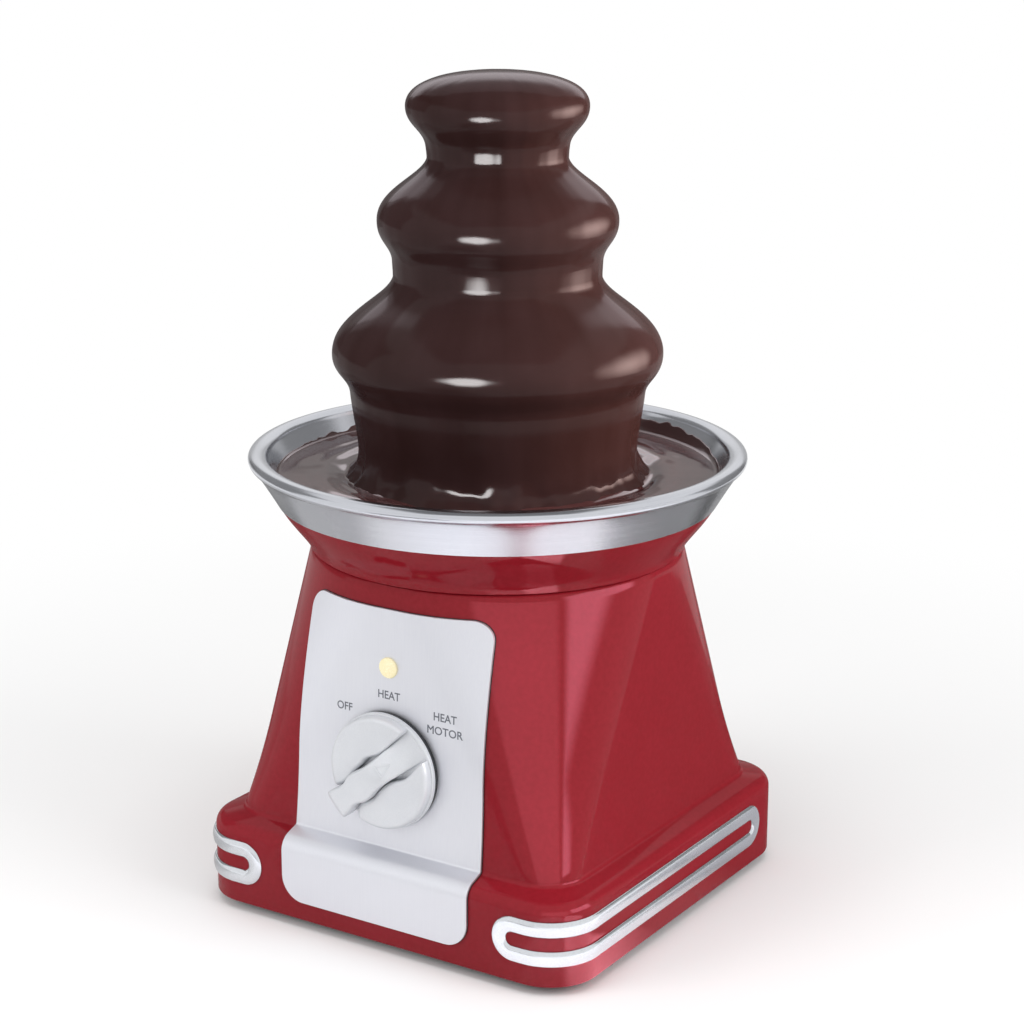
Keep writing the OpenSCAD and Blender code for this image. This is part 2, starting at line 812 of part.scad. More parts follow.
// bridge that carries the rotor's lower end
module motor_bracket() {
  color("silver")
    translate([motor_at[0], motor_at[1], bracket_low])
      difference() {
        union() {
          translate([-stator_hw, -23, 0])
            cube([2 * stator_hw, 8, 2.5]);
          translate([-8, -23, 0])
            cube([16, 32, 2.5]);
          for (x = [-21, 21])
            translate([x, -19, 0])
              cylinder(r = 4, h = stack_low - bracket_low);
        }
        rod(rotor_shaft_r + run_gap, -1, 4);
        for (x = [-21, 21])
          rod(bolt_r + seat, -1, stack_low - bracket_low + 1, [x, -19]);
      }
}

module motor_bolts() {
  color("goldenrod")
    for (p = bolt_at) {
      low = p[1] < motor_at[1] ? bracket_low : stack_low;
      rod(bolt_r, low - seat, gearbox_low + plate_t - 0.5, p);
      rod(3.2, low - seat - 2.2, low - seat, p);
    }
}

module motor_spacers() {
  color("silver")
    for (p = bolt_at)
      difference() {
        rod(4, stack_low + stack_h, gearbox_low, p);
        rod(bolt_r + seat, stack_low, gearbox_low + 1, p);
      }
}

module motor_rotor() {
  color("darkgray")
    difference() {
      rod(rotor_r, stack_low, stack_low + stack_h, motor_at);
      rod(rotor_shaft_r + 0.02, stack_low - 1, stack_low + stack_h + 1, motor_at);
    }
}

module rotor_shaft() {
  color("silver")
    rod(rotor_shaft_r, bracket_low - 1, stage_one + gear_t + 1, motor_at);
}

// half of the angle that a tooth takes at a radius
function inv(a) = tan(a) * 180 / PI - a;
function tooth_half(n, r) =
  let (rp = gear_m * n / 2, rb = rp * cos(20), q = max(r, rb))
  90 / n - backlash / 4 / rp * 180 / PI + inv(20) - inv(acos(min(1, rb / q)));

// outline of a wheel with stub involute teeth, the first tooth along +X
function wheel(n) =
  let (rp = gear_m * n / 2, ra = rp + 0.75 * gear_m, rf = rp - 1.05 * gear_m,
    rs = [rf, max(rp * cos(20), rf + 0.1), rp, ra])
  [for (i = [0:n - 1], k = [0:7])
    let (r = rs[k < 4 ? k : 7 - k], h = tooth_half(n, r), a = 360 * i / n + (k < 4 ? -h : h))
    r * [cos(a), sin(a)]];

module toothed(n, z, t, turn, at, bore) {
  translate([at[0], at[1], z])
    difference() {
      rotate([0, 0, turn])
        linear_extrude(t)
          polygon(wheel(n));
      translate([0, 0, -1])
        cylinder(r = bore, h = t + 2);
    }
}

module motor_pinion() {
  color("gold")
    toothed(pinion_n, stage_one - 0.5, gear_t + 1, motor_dir + 180 + 180 / pinion_n, motor_at,
      rotor_shaft_r + 0.02);
}

// large wheel and small pinion of the idler on one hub
module idler_gear() {
  bore = 2.5 + run_gap;
  color("ivory") {
    toothed(idler_n, stage_one, gear_t, motor_dir, idler_at, bore);
    toothed(pinion_n, stage_one + gear_t - 0.5, gear_t + 5.5, idler_dir + 180 + 180 / pinion_n,
      idler_at, bore);
  }
}

module idler_pin() {
  color("silver")
    rod(2.5, gearbox_low + 0.5, gearbox_high + plate_t - 0.5, idler_at);
}

module output_gear() {
  color("ivory")
    toothed(output_n, stage_two, gear_t, idler_dir, [0, 0], drive_r + 0.02);
}

// shaft from the gearbox up into the bowl, with a hexagon for the auger
module drive_shaft() {
  color("silver") {
    rod(drive_r, drive_low, hex_low);
    translate([0, 0, hex_low - 0.5])
      cylinder(r = hex_af / sqrt(3), h = hex_high - hex_low + 0.5, $fn = 6);
  }
}

// flanged bush in the bowl's floor
module drive_bush() {
  color("goldenrod")
    difference() {
      union() {
        rod(hub_r - seat, z_floor - 8, z_floor + 1.6);
        rod(hub_r + 4, z_floor + seat / 2, z_floor + 1.6);
        rod(hub_r + 4, z_floor - sheet - 3, z_floor - sheet - seat / 2);
      }
      rod(drive_r + run_gap, z_floor - 10, z_floor + 4);
    }
}

// lip seal on top of the bush
module shaft_seal() {
  color("black")
    difference() {
      rod(hub_r, z_floor + 1.6 + seat / 2, z_floor + 5);
      rod(drive_r + run_gap, z_floor, z_floor + 8);
    }
}

// screw that lifts the chocolate: core and one helical flight, hexagon socket below
module auger() {
  blade = 40;
  length = auger_high - auger_low;
  core_r = auger_core_d / 2;
  turns = length / auger_pitch;
  color("ivory")
    difference() {
      translate([0, 0, auger_low])
        linear_extrude(length, twist = -360 * turns, slices = ceil(14 * turns), $fn = 8)
          polygon(concat(
            [for (i = [0:10]) let (a = blade + (360 - blade) * i / 10) core_r * [cos(a), sin(a)]],
            [for (i = [0:2]) auger_r * [cos(blade * i / 2), sin(blade * i / 2)]]));
      translate([0, 0, auger_low - 1])
        cylinder(r = hex_af / sqrt(3) + 0.15, h = hex_high - hex_low + 1.4, $fn = 6);
    }
}

// lugs on the bowl's floor that centre the tube and leave three inlets between them
module tower_locator() {
  r0 = tube_r + locator_gap;
  color("silver") {
    difference() {
      rod(locator_r, z_floor + seat / 2, z_floor + 1.5);
      rod(r0, z_floor - 1, z_floor + 3);
    }
    for (a = [30, 150, 270])
      rotate([0, 0, a - 22])
        rotate_extrude(angle = 44)
          translate([r0 + 0.2, z_floor + 1])
            square([2.2, 7]);
  }
}

module auger_tube() {
  color("gainsboro")
    difference() {
      rod(tube_r, z_floor + seat, tube_top);
      rod(bore_r, z_floor - 1, tube_top + 1);
      for (a = [90, 210, 330])
        rotate([0, 0, a])
          translate([0, -9, z_floor - 1])
            cube([tube_r + 4, 18, 16]);
    }
}

// outer face of the chocolate over one tier, from where it starts to where its curtain lands
function dome_path(from, t) = curve([
  from, [from[0] + 0.28 * (t[0] - from[0]), from[1] + 0.3 * (t[1] - from[1])],
  [t[0], t[1] + 0.42 * (from[1] - t[1])], [t[0], t[1]]]);
function lip_path(t, r) = tail(curve([
  [t[0], t[1]], [t[0], t[1] - 0.45 * lip_h], [r + 0.8, t[1] - 0.6 * lip_h], [r, t[1] - lip_h]], 10), 1);

top_dome = curve([
  [0, z_top], [0.56 * tier_top[0], z_top], [tier_top[0], z_top - 4.5], [tier_top[0], tier_top[1]]]);
middle_dome = dome_path([tier_top[2], tier_top[3]], tier_middle);
lower_dome = dome_path([tier_middle[2], tier_middle[3]], tier_lower);
top_skin = concat(top_dome, lip_path(tier_top, tier_top[2] + 0.5), [[tier_top[2], tier_top[3]]]);
middle_skin = concat(
  middle_dome, lip_path(tier_middle, tier_middle[2] + 0.5), [[tier_middle[2], tier_middle[3]]]);
lower_skin = concat(
  lower_dome, lip_path(tier_lower, tier_lower[2] + 3.6),
  [[tier_lower[2], z_pool + 9], [tier_lower[2] + 1, z_pool + 4], [tier_lower[2] + 4, tier_lower[3]]]);

// flowing chocolate inside one outer path, its two ends level
module coat(path) {
  color("saddlebrown")
    rotate_extrude()
      polygon(sheet_of(path, film, true));
}
module chocolate_middle() { coat(middle_skin); }
module chocolate_lower() { coat(lower_skin); }

// closed cap of chocolate over the top tier
module chocolate_top() {
  inside = tail(moved(top_skin, film, true), 1);
  color("saddlebrown")
    rotate_extrude()
      polygon(concat(top_skin, flip(inside), [[0, z_top - film]]));
}

// one tier: a dished sheet under the chocolate and a hub on the tube
module tier(dome, start, hub_low) {
  under = moved(tail(dome, start), film + seat);
  hub = tube_r + clear;
  color("gainsboro")
    rotate_extrude()
      polygon(concat(
        [[hub, hub_low], [hub, under[0][1] + 1.5], [hub + 1.6, under[0][1] + 1.5]],
        under,
        flip(moved(under, tier_t)),
        [[hub + 2, under[0][1] - 1], [hub + 2, hub_low]]));
}
module lower_tier() { tier(lower_dome, 1, tier_lower[1] + 4); }
module middle_tier() { tier(middle_dome, 1, tier_middle[1] + 4); }
module top_tier() { tier(top_dome, 7, tier_top[1] - 14); }

// rings on the tube under the three hubs
module tier_rings() {
  color("silver")
    for (z = [tier_lower[1] + 4, tier_middle[1] + 4, tier_top[1] - 14])
      difference() {
        rod(tube_r + 2.4, z - seat - 2, z - seat);
        rod(tube_r + seat / 2, z - 4, z + 1);
      }
}

// standing chocolate in the bowl, open round the tube
module chocolate_pool() {
  fill = moved(bowl_inside(), -seat);
  color("saddlebrown")
    rotate_extrude()
      difference() {
        polygon(concat([[0, z_floor + seat]], fill, [[0, z_rim - roll_r]]));
        translate([0, z_pool])
          square([rim_d, 60]);
        square([2 * locator_r + 2, 2 * z_rim], center = true);
      }
}

housing();
bowl_collar();
bowl();
control_panel();
trim_left();
trim_right();
lamp_lens();
lamp_holder();
rotary_switch();
switch_nut();
switch_spindle();
knob();
bottom_plate();
foot(-1, -1);  // foot_front_left
foot(1, -1);  // foot_front_right
foot(-1, 1);  // foot_back_left
foot(1, 1);  // foot_back_right
plate_screws();
tie_rods();
tie_nuts();
cord_gland();
terminal_block();
heater_plate();
heating_tube();
thermostat();
thermal_fuse();
heat_shield();
gearbox_top();
gearbox_bottom();
gearbox_posts();
gearbox_hangers();
motor_stator();
motor_coil();
motor_bracket();
motor_bolts();
motor_spacers();
motor_rotor();
rotor_shaft();
motor_pinion();
idler_gear();
idler_pin();
output_gear();
drive_shaft();
drive_bush();
shaft_seal();
auger();
tower_locator();
auger_tube();
lower_tier();
middle_tier();
top_tier();
tier_rings();
chocolate_pool();
chocolate_lower();
chocolate_middle();
chocolate_top();
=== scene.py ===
"""Three-tier chocolate fountain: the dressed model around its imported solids.

Sizes are millimetres above the table and from the fountain's upright axis, and
become metres when a mesh is made. The control panel faces -Y.
"""

import json
import logging
import math
from dataclasses import dataclass
from enum import Enum
from typing import Any, Callable, Iterable, Optional, Sequence

import bmesh
import bpy
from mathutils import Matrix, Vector, noise


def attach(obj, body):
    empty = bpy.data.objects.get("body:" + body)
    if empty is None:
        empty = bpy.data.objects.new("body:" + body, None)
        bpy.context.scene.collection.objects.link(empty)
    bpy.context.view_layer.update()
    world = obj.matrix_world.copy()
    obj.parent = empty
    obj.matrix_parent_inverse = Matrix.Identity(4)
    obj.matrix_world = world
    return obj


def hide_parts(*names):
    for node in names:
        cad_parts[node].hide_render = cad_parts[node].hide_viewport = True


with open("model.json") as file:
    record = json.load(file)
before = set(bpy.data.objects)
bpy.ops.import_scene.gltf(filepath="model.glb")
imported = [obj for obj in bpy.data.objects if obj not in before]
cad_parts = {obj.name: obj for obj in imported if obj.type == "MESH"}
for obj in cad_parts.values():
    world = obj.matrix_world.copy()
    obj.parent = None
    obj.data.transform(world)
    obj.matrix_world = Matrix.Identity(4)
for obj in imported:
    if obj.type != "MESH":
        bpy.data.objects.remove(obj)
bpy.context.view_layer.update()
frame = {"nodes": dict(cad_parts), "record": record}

LOG = logging.getLogger("fountain")
MM = 0.001
TAU = 2 * math.pi
CREASE = 38.0      # edges sharper than this stay sharp in the shading, in degrees
SAME_PLACE = 1e-7  # points closer than this are one, in metres
SLIVER = 1e-8      # shorter edges are taken out, in metres
ON_AXIS = 1e-6     # a smaller radius is a pole, in millimetres

Point = tuple[float, float]
Triple = tuple[float, float, float]
Solid = tuple[list[Triple], list[list[int]]]
Shaper = Callable[[int, float, float, float], Point]


# Shapes

def cubic(a: Point, b: Point, c: Point, d: Point, n: int) -> list[Point]:
    """Points of a cubic curve.

    Args:
        a, b, c, d: control points.
        n: number of steps.

    Returns:
        n + 1 points from a to d.
    """
    out = []
    for i in range(n + 1):
        t, u = i / n, 1 - i / n
        k = (u * u * u, 3 * u * u * t, 3 * u * t * t, t * t * t)
        out.append(tuple(sum(w * p[j] for w, p in zip(k, (a, b, c, d))) for j in (0, 1)))
    return out


def arc(centre: Point, r: float, start: float, end: float, n: int) -> list[Point]:
    """Points of an arc.

    Args:
        centre: its middle.
        r: its radius.
        start, end: angles in degrees.
        n: number of steps.

    Returns:
        n + 1 points.
    """
    out = []
    for i in range(n + 1):
        a = math.radians(start + (end - start) * i / n)
        out.append((centre[0] + r * math.cos(a), centre[1] + r * math.sin(a)))
    return out


def beside(path: Sequence[Point], d: float) -> list[Point]:
    """A path moved to its right.

    Args:
        path: points in order.
        d: distance; negative moves it to its left.

    Returns:
        As many points as the path has.
    """
    out = []
    for i, p in enumerate(path):
        a, b = path[max(i - 1, 0)], path[min(i + 1, len(path) - 1)]
        n = math.hypot(b[0] - a[0], b[1] - a[1])
        out.append((p[0] + d * (b[1] - a[1]) / n, p[1] - d * (b[0] - a[0]) / n))
    return out


def between(table: Sequence[Point], x: float) -> float:
    """A smooth value from a table with rising x.

    Args:
        table: pairs of x and value.
        x: where the value is wanted.

    Returns:
        The value on a curve through the table's points.
    """
    if x <= table[0][0]:
        return table[0][1]
    for i in range(len(table) - 1):
        (x0, y0), (x1, y1) = table[i], table[i + 1]
        if x <= x1:
            p, q = table[max(i - 1, 0)], table[min(i + 2, len(table) - 1)]
            m0 = (y1 - p[1]) / (x1 - p[0])
            m1 = (q[1] - y0) / (q[0] - x0)
            h, t = x1 - x0, (x - x0) / (x1 - x0)
            return ((1 + 2 * t) * (1 - t) ** 2 * y0 + t * (1 - t) ** 2 * h * m0
                    + t * t * (3 - 2 * t) * y1 + t * t * (t - 1) * h * m1)
    return table[-1][1]


def ease(x: float) -> float:
    """A step from 0 to 1 with level ends."""
    x = min(max(x, 0.0), 1.0)
    return x * x * (3 - 2 * x)


def ripple(theta: float, turns: float, z: float, seed: float) -> float:
    """Smooth noise round an upright axis, without a seam.

    Args:
        theta: angle round the axis.
        turns: about how many waves go round.
        z: a second coordinate, in waves.
        seed: picks the pattern.

    Returns:
        A value between -1 and 1.
    """
    k = turns / 3.0  # a circle of radius 1 crosses about three waves
    return noise.noise(Vector((k * math.cos(theta) + seed, k * math.sin(theta) - seed, z + 3.1 * seed)))


def link(name: str, data: bpy.types.ID) -> bpy.types.Object:
    """Puts a mesh, text, lamp or camera in the scene.

    Args:
        name: the object's name.
        data: what it shows.

    Returns:
        The new object, at the origin.
    """
    made = bpy.data.objects.new(name, data)
    bpy.context.scene.collection.objects.link(made)
    return made


def settled(maker: bpy.types.Object, name: str) -> bpy.types.Mesh:
    """Turns what an object makes into a plain mesh, and takes the object away.

    Args:
        maker: an object with text or with a geometry tree.
        name: the mesh's name.

    Returns:
        The mesh.
    """
    bpy.context.view_layer.update()
    mesh = bpy.data.meshes.new_from_object(maker.evaluated_get(bpy.context.evaluated_depsgraph_get()))
    maker.modifiers.clear()
    bpy.data.objects.remove(maker)
    mesh.name = name
    return mesh


def weld_mesh(mesh: bpy.types.Mesh) -> None:
    """Joins a mesh's doubles and turns its faces outwards.

    Args:
        mesh: the mesh to change.
    """
    bm = bmesh.new()
    bm.from_mesh(mesh)
    bmesh.ops.remove_doubles(bm, verts=bm.verts, dist=SAME_PLACE)
    bmesh.ops.dissolve_degenerate(bm, dist=SLIVER, edges=bm.edges)
    bmesh.ops.recalc_face_normals(bm, faces=bm.faces)
    bm.to_mesh(mesh)
    bm.free()


def mesh_piece(name: str, points: Iterable[Triple], faces: Iterable[Sequence[int]],
               crease: float = CREASE, weld: bool = True) -> bpy.types.Object:
    """A mesh as an object at the origin.

    Args:
        name: the piece's name.
        points: vertices in millimetres.
        faces: vertex numbers of each face.
        crease: edges sharper than this angle stay sharp in the shading.
        weld: joins doubles and turns the faces outwards.

    Returns:
        The new object.
    """
    mesh = bpy.data.meshes.new(name)
    mesh.from_pydata([(x * MM, y * MM, z * MM) for x, y, z in points], [], list(faces))
    if weld:
        weld_mesh(mesh)
    mesh.validate()
    mesh.shade_smooth()
    mesh.set_sharp_from_angle(angle=math.radians(crease))
    return link(name, mesh)


def skin(rings: Sequence[Sequence[Triple]], closed: bool = False) -> Solid:
    """Points and faces of a skin over rings of equal length.

    Args:
        rings: closed loops of points.
        closed: the last ring joins the first; else both ends get a cap.

    Returns:
        Points and faces.
    """
    n, m = len(rings[0]), len(rings)
    points = [p for ring in rings for p in ring]
    faces = []
    for i in range(m if closed else m - 1):
        a, b = i * n, (i + 1) % m * n
        faces += [[a + j, a + (j + 1) % n, b + (j + 1) % n, b + j] for j in range(n)]
    if not closed:
        faces += [list(range(n))[::-1], list(range((m - 1) * n, m * n))]
    return points, faces


def turned(name: str, outline: Sequence[Point], n: int, shaper: Optional[Shaper] = None,
           crease: float = CREASE) -> bpy.types.Object:
    """A solid turned round the upright axis.

    Args:
        name: the piece's name.
        outline: closed outline of radius and height; radius 0 makes a pole.
        n: steps round the axis.
        shaper: moves a point, from its number, angle, radius and height.
        crease: edges sharper than this stay sharp.

    Returns:
        The new object.
    """
    points: list[Triple] = []
    for k in range(n):
        a = TAU * k / n
        for i, (r, z) in enumerate(outline):
            if shaper:
                r, z = shaper(i, a, r, z)
            points.append((r * math.cos(a), r * math.sin(a), z))
    m = len(outline)
    faces = []
    for k in range(n):
        a, b = k * m, (k + 1) % n * m
        for i in range(m):
            j = (i + 1) % m
            if outline[i][0] < ON_AXIS and outline[j][0] < ON_AXIS:
                continue
            faces.append([a + i, b + i, b + j, a + j])
    return mesh_piece(name, points, faces, crease)


def to_front(piece: bpy.types.Object, depth: float, height: float) -> bpy.types.Object:
    """Lays a piece that was made upright on the front, its top towards the viewer.

    Args:
        piece: the object, its axis upright.
        depth: distance of its foot in front of the fountain's axis.
        height: height of its axis.

    Returns:
        The same object.
    """
    for v in piece.data.vertices:
        x, y, z = v.co
        v.co = (x, -depth * MM - z, height * MM + y)
    piece.data.update()
    return piece


# Finishes

def hex_colour(code: str) -> tuple[float, float, float, float]:
    """Linear colour of an sRGB hex code.

    Args:
        code: a hash sign and six hex digits.

    Returns:
        Red, green, blue and a full alpha.
    """
    parts = [int(code[i:i + 2], 16) / 255 for i in (1, 3, 5)]
    lin = [c / 12.92 if c <= 0.04045 else ((c + 0.055) / 1.055) ** 2.4 for c in parts]
    return (lin[0], lin[1], lin[2], 1.0)


def add(tree: bpy.types.NodeTree, kind: str, values: Optional[dict[Any, Any]] = None,
        **settings: Any) -> bpy.types.Node:
    """Adds a node.

    Args:
        tree: the node tree.
        kind: the node's type.
        values: input name or number to a socket that feeds it, or to its value.
        settings: the node's own settings.

    Returns:
        The node.
    """
    node = tree.nodes.new(kind)
    for key, value in settings.items():
        setattr(node, key, value)
    for key, value in (values or {}).items():
        if isinstance(value, bpy.types.NodeSocket):
            tree.links.new(value, node.inputs[key])
        else:
            node.inputs[key].default_value = value
    return node


def bare_material(name: str) -> bpy.types.Material:
    """A node material with an empty tree.

    Args:
        name: its name.

    Returns:
        The material.
    """
    made = bpy.data.materials.new(name)
    made.use_nodes = True
    made.node_tree.nodes.clear()
    return made


class Pattern(Enum):
    """How a surface was made, which sets the way its grain runs."""

    MOULDED = "even grain"
    SPUN = "fine rings round the axis"
    BRUSHED = "upright strokes"
    STACKED = "level sheets"
    FLOWING = "streaks down the fall"
    POURED = "rings and swirls of a standing pool"


STROKE = 60          # a brushed stroke is this many grains long
LAYER = 80           # a stacked sheet is this many grains wide
STREAK = 9           # a streak of the fall is this many grains long
FALL_R = 45          # radius at which a streak has the width of its grain
SWIRL_R = 14         # the same for a swirl of the pool, which is longer further out
HUB_R = 14           # nearer to the axis streaks and swirls don't narrow any more
VARIES = (0.7, 1.3)  # range of the sum of the two noises


@dataclass(frozen=True)
class Finish:
    """One material: what it is, its colours and the grain of its surface.

    Attributes:
        name: common name of the material and how it was made.
        dark, light: sRGB colours between which it varies.
        pattern: the way the grain runs.
        grain: size of the grain in millimetres.
        patch: size of the colour's slow change in millimetres.
        bump: height of the grain in millimetres.
        smooth, rough: lowest and highest roughness.
        metallic: 1 for bare metal.
        ior: refractive index.
        coat: weight of a clear layer.
        gloss: roughness of that layer.
        glow: emission strength.
        specular: level of the plain reflection.
    """

    name: str
    dark: str
    light: str
    pattern: Pattern = Pattern.MOULDED
    grain: float = 1.0
    patch: float = 30.0
    bump: float = 0.01
    smooth: float = 0.3
    rough: float = 0.4
    metallic: float = 0.0
    ior: float = 1.5
    coat: float = 0.0
    gloss: float = 0.06
    glow: float = 0.0
    specular: float = 0.5

    def place(self, tree: bpy.types.NodeTree) -> bpy.types.NodeSocket:
        """Coordinates of the grain, in grains.

        Args:
            tree: the material's tree.

        Returns:
            The vector socket.
        """
        where = add(tree, "ShaderNodeTexCoord").outputs["Object"]
        step = 1 / (self.grain * MM)
        straight = {Pattern.MOULDED: (step, step, step), Pattern.BRUSHED: (step, step, step / STROKE),
                    Pattern.STACKED: (step / LAYER, step / LAYER, step)}
        if self.pattern in straight:
            scale = straight[self.pattern]
            return add(tree, "ShaderNodeMapping", {"Vector": where, "Scale": scale}).outputs[0]
        part = add(tree, "ShaderNodeSeparateXYZ", {0: where}).outputs
        flat = add(tree, "ShaderNodeCombineXYZ", {0: part[0], 1: part[1]}).outputs[0]
        reach = add(tree, "ShaderNodeVectorMath", {0: flat}, operation="LENGTH").outputs["Value"]
        if self.pattern is Pattern.SPUN:
            line = add(tree, "ShaderNodeCombineXYZ", {0: reach, 2: part[2]}).outputs[0]
            return add(tree, "ShaderNodeMapping", {"Vector": line, "Scale": (step, step, step)}).outputs[0]
        held = add(tree, "ShaderNodeMath", {0: reach, 1: HUB_R * MM}, operation="MAXIMUM").outputs[0]
        turn = add(tree, "ShaderNodeMath", {0: 1.0, 1: held}, operation="DIVIDE").outputs[0]
        turn = add(tree, "ShaderNodeVectorMath", {0: flat, "Scale": turn}, operation="SCALE").outputs[0]
        if self.pattern is Pattern.FLOWING:
            radius, along, pace = FALL_R, part[2], step / STREAK
        else:
            radius, along, pace = SWIRL_R, reach, step
        wide = add(tree, "ShaderNodeVectorMath", {0: turn, "Scale": radius / self.grain},
                   operation="SCALE").outputs[0]
        run = add(tree, "ShaderNodeMath", {0: along, 1: pace}, operation="MULTIPLY").outputs[0]
        drop = add(tree, "ShaderNodeCombineXYZ", {2: run}).outputs[0]
        return add(tree, "ShaderNodeVectorMath", {0: wide, 1: drop}, operation="ADD").outputs[0]

    def material(self) -> bpy.types.Material:
        """The finish as a node material, made once.

        Returns:
            The material.
        """
        made = bpy.data.materials.get(self.name)
        if made:
            return made
        made = bare_material(self.name)
        tree = made.node_tree
        low, high = VARIES
        where = add(tree, "ShaderNodeTexCoord").outputs["Object"]
        slow = add(tree, "ShaderNodeTexNoise", {"Vector": where, "Scale": 1 / (self.patch * MM),
                                                "Detail": 3.0}).outputs[0]
        grain = add(tree, "ShaderNodeTexNoise", {"Vector": self.place(tree), "Scale": 1.0,
                                                 "Detail": 2.0}).outputs[0]
        both = add(tree, "ShaderNodeMath", {0: slow, 1: grain}, operation="ADD").outputs[0]
        share = add(tree, "ShaderNodeMapRange", {0: both, 1: low, 2: high}).outputs[0]
        colour = add(tree, "ShaderNodeMix", {0: share, 6: hex_colour(self.dark), 7: hex_colour(self.light)},
                     data_type="RGBA").outputs[2]
        rough = add(tree, "ShaderNodeMapRange", {0: both, 1: low, 2: high, 3: self.smooth,
                                                 4: self.rough}).outputs[0]
        bump = add(tree, "ShaderNodeBump", {"Height": grain, "Strength": 1.0,
                                            "Distance": self.bump * MM}).outputs[0]
        values = {"Base Color": colour, "Roughness": rough, "Normal": bump, "Metallic": self.metallic,
                  "Coat Weight": self.coat, "Coat Roughness": self.gloss, "Specular IOR Level": self.specular}
        if not self.metallic:
            values["IOR"] = self.ior
        if self.glow:
            values.update({"Emission Color": hex_colour(self.light), "Emission Strength": self.glow})
        shader = add(tree, "ShaderNodeBsdfPrincipled", values).outputs[0]
        add(tree, "ShaderNodeOutputMaterial", {"Surface": shader})
        return made


# Injection-moulded ABS, polished tool: a deep red under a thin even gloss with a trace of orange peel.
RED_ABS = Finish("moulded gloss ABS", "#7A171F", "#831B25", grain=2.2, patch=60, bump=0.003,
                 smooth=0.3, rough=0.36, ior=1.53, coat=0.34, gloss=0.05, specular=0.0)
# Drawn stainless steel, spun on a lathe: rings too fine to see are drawn 0.5 mm apart.
STEEL = Finish("spun stainless steel", "#C4C6CD", "#CED0D6", Pattern.SPUN, 0.5, 40, 0.0003, 0.17, 0.22, 1.0)
# Pressed stainless steel of the tower and of what is under the bowl: greyer, with rings drawn 0.6 mm apart.
TIER_STEEL = Finish("pressed stainless steel", "#AEB1B6", "#CDD0D4", Pattern.SPUN, 0.6, 40, 0.002,
                    0.2, 0.32, 1.0)
# Aluminium sheet, satin anodised: soft reflections and faint upright strokes, drawn 0.5 mm wide to show.
SILVER_SHEET = Finish("satin anodised aluminium", "#DADBE2", "#DEDFE5", Pattern.BRUSHED, 0.5, 60, 0.0002,
                      0.38, 0.42, 0.7)
# Aluminium bar, polished and lacquered: near to a mirror, slightly clouded.
BRIGHT_BAR = Finish("polished aluminium", "#D0D3D8", "#DBDEE2", grain=0.8, patch=20, bump=0.001,
                    smooth=0.14, rough=0.2, metallic=1.0)
# ABS with a silver lacquer: satin, slightly sparkling.
SILVER_ABS = Finish("silver lacquered ABS", "#C8CACF", "#D1D3D7", grain=0.4, patch=14, bump=0.001,
                    smooth=0.32, rough=0.4, metallic=0.35, coat=0.1, gloss=0.15)
# Screen-printed ink: a matt grey film.
GREY_INK = Finish("grey printing ink", "#5D6068", "#6A6D76", grain=0.2, patch=3, bump=0.001,
                  smooth=0.5, rough=0.6)
# Diffusing polycarbonate with a small lamp behind it: a milky yellow with a weak glow.
LENS = Finish("diffusing polycarbonate", "#ECDFAE", "#F4EBC8", grain=0.6, patch=5, bump=0.002,
              smooth=0.22, rough=0.3, glow=0.03)
# Melted dark chocolate: a wet gloss that runs in faint streaks down the fall.
FALL = Finish("melted chocolate in fall", "#2B1A19", "#312020", Pattern.FLOWING, 9, 30, 0.02, 0.3, 0.4,
              ior=1.45, coat=0.22, gloss=0.12, specular=0.0)
# The same chocolate standing in the bowl, with slow swirls.
POOL = Finish("melted chocolate standing", "#3D2424", "#482D2D", Pattern.POURED, 16, 30, 0.06, 0.3, 0.4,
              ior=1.45, coat=0.55, gloss=0.08, specular=0.0)
# Moulded rubber: dull and nearly black, with a fine even grain.
BLACK_RUBBER = Finish("moulded black rubber", "#17181A", "#242527", grain=0.5, bump=0.01,
                      smooth=0.55, rough=0.7)
# Moulded nylon with black pigment: a low satin sheen.
BLACK_PLASTIC = Finish("moulded black nylon", "#1D1F22", "#2A2C30", grain=0.6, bump=0.01,
                       smooth=0.4, rough=0.52)
# Mild steel, electroplated with zinc: bright grey with small cloudy patches.
ZINC = Finish("zinc plated steel", "#A9AEB6", "#C9CDD2", grain=0.7, patch=8, bump=0.003,
              smooth=0.25, rough=0.38, metallic=1.0)
# Bronze powder, pressed and sintered: a dull brown gold with fine pores.
BRONZE = Finish("sintered bronze", "#8A6234", "#A97D47", grain=0.3, bump=0.008,
                smooth=0.35, rough=0.48, metallic=1.0)
# Enamelled wire in wound layers: level ridges, drawn 0.8 mm apart so that they show.
COPPER = Finish("enamelled copper wire", "#8A3F1E", "#B5602F", Pattern.STACKED, 0.8, 12, 0.12, 0.2, 0.34, 1.0)
# Aluminium as it left the rolls: a soft pale grey.
ALUMINIUM = Finish("bare aluminium", "#B4B7BB", "#CFD2D5", grain=0.6, bump=0.004,
                   smooth=0.3, rough=0.44, metallic=1.0)
# Stacked silicon steel: dark level lines; sheets of 0.5 mm are drawn 1 mm thick so that they show.
LAMINATION = Finish("stacked silicon steel", "#4C5157", "#7B8087", Pattern.STACKED, 1.0, 20, 0.05,
                    0.34, 0.5, 1.0)
# Moulded nylon without pigment: a warm white with a slight sheen.
NYLON = Finish("moulded natural nylon", "#DAD6C6", "#E8E4D6", grain=0.6, bump=0.005, smooth=0.34, rough=0.46)
# Steatite, pressed and fired: a dry pale cream.
CERAMIC = Finish("pressed steatite ceramic", "#CDC3B0", "#DAD1C0", grain=0.7, bump=0.01,
                 smooth=0.4, rough=0.55)

